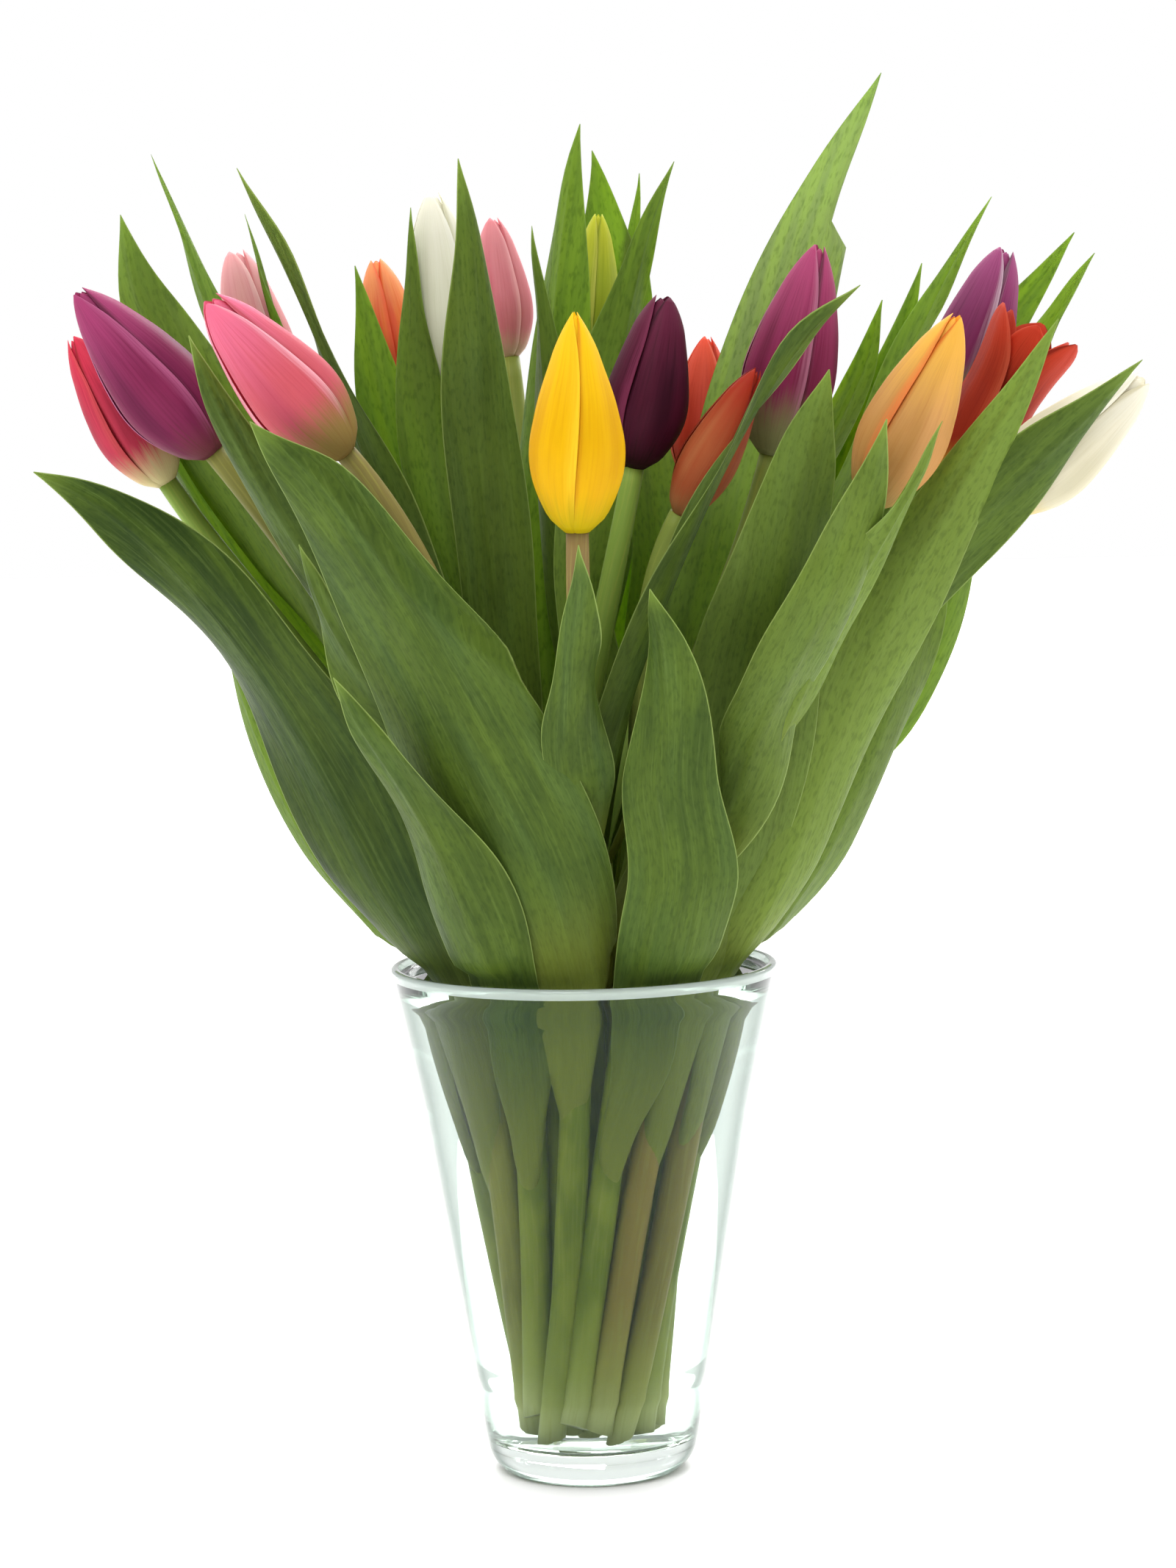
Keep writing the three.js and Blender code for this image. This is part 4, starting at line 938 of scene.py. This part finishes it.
def petalMaterial(name, look):
    material, board = startMaterial("petal_" + name)
    place = board.attribute("place")
    u, t, number = place.axis("X"), place.axis("Y"), place.axis("Z")
    inner = board.attribute("look").axis("X")
    foot, body, tip, edge, streak = [colour(text) for text in look["colours"].split()]
    veins = board.noise(board.vector(u * 9.0, t * 1.0, number * 3.3), 2.4, 4, 0.62)
    clouds = board.noise(board.vector(u * 1.6, t * 1.2, number * 5.1), 1.4, 2)
    height = t + (veins - 0.5) * 0.22 + (clouds - 0.5) * 0.14
    side = abs(u)
    footAt = look.get("footAt", budLook["footAt"])
    petal = (clouds.ramp(0.3, 0.7) * 0.5).blend(body, streak)
    petal = ((1 - side.ramp(0.02, 0.3)) * t.ramp(0.12, 0.35) * 0.75).blend(petal, streak)
    # towards the top the tip's colour takes over: partly the petal's own colour, partly painted light from
    # above and behind
    petal = (height.ramp(0.45, 0.98) * 0.9).blend(petal, tip)
    petal = ((side + (veins - 0.5) * 0.3).ramp(0.72, 1.02) * 0.8).blend(petal, edge)
    # at the bottom the foot's colour: partly the petal's own colour, partly painted shade where it is darker
    # than the body
    petal = (1 - height.ramp(footAt - 0.1, footAt + 0.16)).blend(petal, foot)
    petal = ((1 - veins.ramp(0.25, 0.55)) * 0.22).blend(petal, streak, "MULTIPLY")
    seam = (1 - u.ramp(-0.9, -0.7)) * (1 - inner) * t.ramp(0.03, 0.2)  # shade beside a petal that laps over
    petal = (seam * 0.75).blend(petal, streak, "MULTIPLY")
    bump = board.node("Bump", {}, {"Strength": 0.3, "Distance": 0.0004, "Height": veins})
    skin = board.node("BsdfPrincipled", {}, {
        "Base Color": petal,
        "Roughness": 0.42 + veins * 0.16,
        "Specular IOR Level": 0.14,
        "Normal": bump,
    })
    glow = board.node("BsdfTranslucent", {}, {"Color": petal})
    both = board.node("MixShader", {}, {0: 0.4, 1: skin, 2: glow})
    board.node("OutputMaterial", {}, {"Surface": both})
    return material


petalNumber = 0
for name, tulip in tulips.items():
    look = blooms[name]
    shape = Shape()
    for n in range(3):
        middle = look["seam"] + 60 + 120 * n
        inner = dict(size=budLook["innerSize"], top=budLook["innerTop"], middle=middle + 60, inner=True)
        inner["start"] = 0 if "open" in tulip else budLook["innerFrom"]
        addPetal(shape, tulip, look, dict(size=1, top=1, middle=middle, start=0, inner=False), petalNumber)
        addPetal(shape, tulip, look, inner, petalNumber + 1)
        petalNumber += 2
    shape.piece("petals_" + name, [petalMaterial(name, look)], "petals_" + name, "bloom_" + name)
print("blooms", len(blooms))


glassLook = dict(
    punt=1.2,  # hollow under the foot
    ripple=0.1, ripples=(11, 17),  # unevenness of the pressed wall
    ior=1.5,
    parts={  # the outside, the rim and the wet inside
        "": dict(tint="eef6f2", mirrored="9aaea4", aslant="5e766a"),
        # the rim is partly cloudy and pale, so that it reads light grey: a painted highlight and reflection
        # on the clear rim
        "_rim": dict(tint="dce9e2", mirrored="eaf3ee", clear=0.6),
        "_wet": dict(tint="f4faf7", mirrored="202422"),
    },
)
waterLook = dict(ior=1.333, tint="fcfefc", mirrored={"water": "202422", "water_top": "ffffff"})


def rounded(corners, steps=5):  # corners as (radius, height, how far the rounding starts from the corner)
    profile = []
    for k, (r, z, ease) in enumerate(corners):
        here = Vector((r, z))
        if not ease or k in (0, len(corners) - 1):
            profile.append((r, z))
            continue
        before, after = Vector(corners[k - 1][:2]), Vector(corners[k + 1][:2])
        start = here + (before - here).normalized() * min(ease, (before - here).length * 0.49)
        end = here + (after - here).normalized() * min(ease, (after - here).length * 0.49)
        for n in range(steps + 1):
            x = n / steps
            p = start * (1 - x) ** 2 + here * (2 * x * (1 - x)) + end * x * x
            profile.append((p.x, p.y))
    return profile


def unevenness(azimuth, z):
    first, second = glassLook["ripples"]
    calm = smooth((z - 30) / 30) * smooth((160 - z) / 20)
    wave = math.sin(first * azimuth + z * 0.03) + 0.7 * math.sin(second * azimuth - z * 0.021 + 1)
    return glassLook["ripple"] * wave * calm


def addLathe(shape, profile, inwards, finish):  # inwards: which rings take the wall's unevenness
    rings = []
    for k, (r, z) in enumerate(profile):
        if r < 1e-6:
            rings.append([shape.corner(Vector((0, 0, z)))])
            continue
        ring = []
        for n in range(vase["segments"]):
            azimuth = 2 * math.pi * n / vase["segments"]
            radius = r + (unevenness(azimuth, z) if inwards(k) else 0)
            point = Vector((math.cos(azimuth), math.sin(azimuth), 0)) * radius
            ring.append(shape.corner(point + Vector((0, 0, z))))
        rings.append(ring)
    for k, (low, high) in enumerate(zip(rings, rings[1:])):
        if len(low) == 1:
            shape.cap(high, low[0], finish(k))
        elif len(high) == 1:
            shape.cap(low, high[0], finish(k))
        else:
            shape.bridge(low, high, finish(k))


def levelled(corners, step=8, hold=0.25):  # long stretches are cut up, and held flat up to their roundings
    out = [corners[0]]
    for before, after in zip(corners, corners[1:]):
        outwards, upwards = after[0] - before[0], after[1] - before[1]
        span = math.hypot(outwards, upwards)
        places = [1]
        if span > 1.5:
            count = math.ceil(span / step)
            places = [hold / span, *[n / count for n in range(1, count)], 1 - hold / span, 1]
        out += [(before[0] + outwards * x, before[1] + upwards * x) for x in places]
    return out


outerProfile = levelled(rounded([
    (0, glassLook["punt"], 0), (21, glassLook["punt"] * 0.8, 3), (25.5, 0, 1.5), (28.5, 0, 1.5),
    (33.2, 4.5, 3.5), (35.4, 15, 5), (36.2, 27, 1.5), (37.4, 31, 2.5), (44.6, 73, 6), (52.7, 120, 6),
    (61.9, 162.5, 0.6), (62.3, 164.1, 0.7), (61.4, 165, 0.6), (59.9, 165, 0.5),
]))
wallProfile = levelled(rounded([
    (59.9, 165, 0), (59.0, 162.7, 0.8), (49.7, 120, 6), (41.6, 73, 6), (34.4, 31, 4), (33, 25, 4),
    (31.2, 14, 5), (26.5, 10, 6), (0, 9.4, 0),
]))
glassProfile = outerProfile + wallProfile[1:]


def glassFinish(k):  # 0 on the outside and the foot, 1 on the rim, 2 on the wet inside
    if min(glassProfile[k][1], glassProfile[k + 1][1]) > water["level"] - 2:
        return 1
    return 2 if k >= len(outerProfile) - 1 else 0


glassShape = Shape()
addLathe(glassShape, glassProfile, lambda k: k >= len(outerProfile), glassFinish)


def clearMaterial(name, ior, tint, mirrored, clear=1, aslant=None):
    material, board = startMaterial(name)
    where = board.node("TexCoord", {}, {}, "Object")
    swirls = board.noise(where, 30.0, 2, 0.5)
    tinted = colour(tint)
    if aslant:  # its tint where it is looked through along the wall
        turned = board.node("LayerWeight", {}, {"Blend": 0.5}, "Facing").ramp(0.5, 0.72)
        tinted = turned.blend(tinted, colour(aslant))
    body = board.node("BsdfPrincipled", {}, {
        "Base Color": tinted,
        "Roughness": 0.0,
        "IOR": ior,
        "Transmission Weight": clear,
        "Specular Tint": colour(mirrored),
        "Normal": board.node("Bump", {}, {"Strength": 0.03, "Distance": 0.0006, "Height": swirls}),
    })
    board.node("OutputMaterial", {}, {"Surface": body})
    return material


glasses = []
for part, look in glassLook["parts"].items():
    glasses.append(clearMaterial("clear_glass" + part, glassLook["ior"], **look))
glassShape.piece("vase_glass", glasses, "clear_glass", "vase")

overlap, level = water["overlap"], water["level"]
wet = [(r + overlap, z) for r, z in wallProfile if r > 0 and z < level]
brim = level + water["meniscus"]
topRadius = along([(31, 34.4), (73, 41.6), (120, 49.7), (162.7, 59.0)], brim)
surface = [
    (topRadius + overlap, brim), (topRadius - 0.8, level + 0.5), (topRadius - 2, level + 0.12),
    (topRadius - 4, level), (0, level),
]
waterProfile = [(0, wallProfile[-1][1] - overlap)] + [(r, z - overlap) for r, z in reversed(wet)] + surface
waterShape = Shape()
addLathe(waterShape, waterProfile, lambda k: True, lambda k: int(waterProfile[k][1] > level - overlap - 0.05))
waters = []
for name, mirrored in waterLook["mirrored"].items():
    waters.append(clearMaterial(name, waterLook["ior"], waterLook["tint"], mirrored))
waterShape.piece("water_body", waters, "water", "water")
print("vase and water")


# brightness of the white surroundings as seen, as clear glass mirrors those beside the camera,
# and as they light the bunch from the front, the back and the top
stage = dict(
    backdrop=1.0, mirrored=0.36, front=0.1, behind=2.2, above=0.9,
    lamps=dict(  # power, size, place in metres
        key=(17, 0.8, (-0.3, -1.3, 1.6)),
        fill=(1.5, 1.4, (1.5, -1.0, 0.9)),
        back=(30, 1.4, (0.4, 1.6, 1.5)),
    ),
    target=(0, 0, 0.3), floor=6,
)


def makeFloor():
    mesh = bpy.data.meshes.new("floor")
    reach = stage["floor"]
    corners = [(-reach, -reach, 0), (reach, -reach, 0), (reach, reach, 0), (-reach, reach, 0)]
    mesh.from_pydata(corners, [], [(0, 1, 2, 3)])
    floor = bpy.data.objects.new("floor", mesh)
    bpy.context.scene.collection.objects.link(floor)
    material, board = startMaterial("pale_floor")
    where = board.node("TexCoord", {}, {}, "Object")
    paper = board.noise(where, 60.0, 3).ramp(0.3, 0.7).blend(colour("fbfbfa"), colour("fefefe"))
    body = board.node("BsdfPrincipled", {}, {"Base Color": paper, "Roughness": 0.6})
    board.node("OutputMaterial", {}, {"Surface": body})
    mesh.materials.append(material)


def makeLamps():
    for name, (power, size, place) in stage["lamps"].items():
        light = bpy.data.lights.new(name, "AREA")
        light.energy = power
        light.size = size
        lamp = bpy.data.objects.new(name, light)
        bpy.context.scene.collection.objects.link(lamp)
        lamp.location = place
        lamp.rotation_euler = (Vector(stage["target"]) - Vector(place)).to_track_quat("-Z", "Y").to_euler()


def makeWorld():
    world = bpy.data.worlds.new("studio")
    world.use_nodes = True
    world.node_tree.nodes.clear()
    board = Wire(world.node_tree)
    towards = board.node("TexCoord", {}, {}, "Generated")
    seen = board.node("LightPath", {}, {}, "Is Camera Ray")
    sharp = board.node("LightPath", {}, {}, "Is Singular Ray")
    light = towards.axis("Y").ramp(-0.6, 0.6) * (stage["behind"] - stage["front"]) + stage["front"]
    light = light + towards.axis("Z").ramp(0.1, 1.0) * stage["above"]
    white = board.maths("MINIMUM", towards.axis("Y").ramp(0.3, 0.72) + towards.axis("Z").ramp(0.3, 0.8), 1)
    mirrored = stage["mirrored"] + white * (stage["backdrop"] - stage["mirrored"])
    strength = sharp * mirrored + (1 - sharp) * light
    strength = seen * stage["backdrop"] + (1 - seen) * strength
    sky = board.node("Background", {}, {"Color": (1, 1, 1, 1), "Strength": strength})
    board.node("OutputWorld", {}, {"Surface": sky})
    bpy.context.scene.world = world


def makeCamera():
    view = dict(place=(2.5, -1400, 360), pitch=5.6, roll=1.1, focal=5964, width=1600)
    data = bpy.data.cameras.new("camera")
    data.sensor_fit = "HORIZONTAL"
    data.sensor_width = 36
    data.lens = 36 * view["focal"] / view["width"]
    camera = bpy.data.objects.new("camera", data)
    bpy.context.scene.collection.objects.link(camera)
    pitch, roll = math.radians(view["pitch"]), math.radians(view["roll"])
    ahead = Vector((0, math.cos(pitch), -math.sin(pitch)))
    level = Vector((1, 0, 0))
    above = Vector((0, math.sin(pitch), math.cos(pitch)))
    right = level * math.cos(roll) - above * math.sin(roll)
    up = level * math.sin(roll) + above * math.cos(roll)
    matrix = Matrix((right, up, -ahead)).transposed().to_4x4()
    matrix.translation = Vector(view["place"]) * mm
    camera.matrix_world = matrix
    bpy.context.scene.camera = camera


makeFloor()
makeWorld()
makeLamps()
makeCamera()
bpy.context.scene.view_settings.view_transform = "Standard"
cycles = bpy.context.scene.cycles  # light is led a long way round in the rim and the foot of the glass
cycles.max_bounces, cycles.glossy_bounces, cycles.transmission_bounces = 28, 20, 28
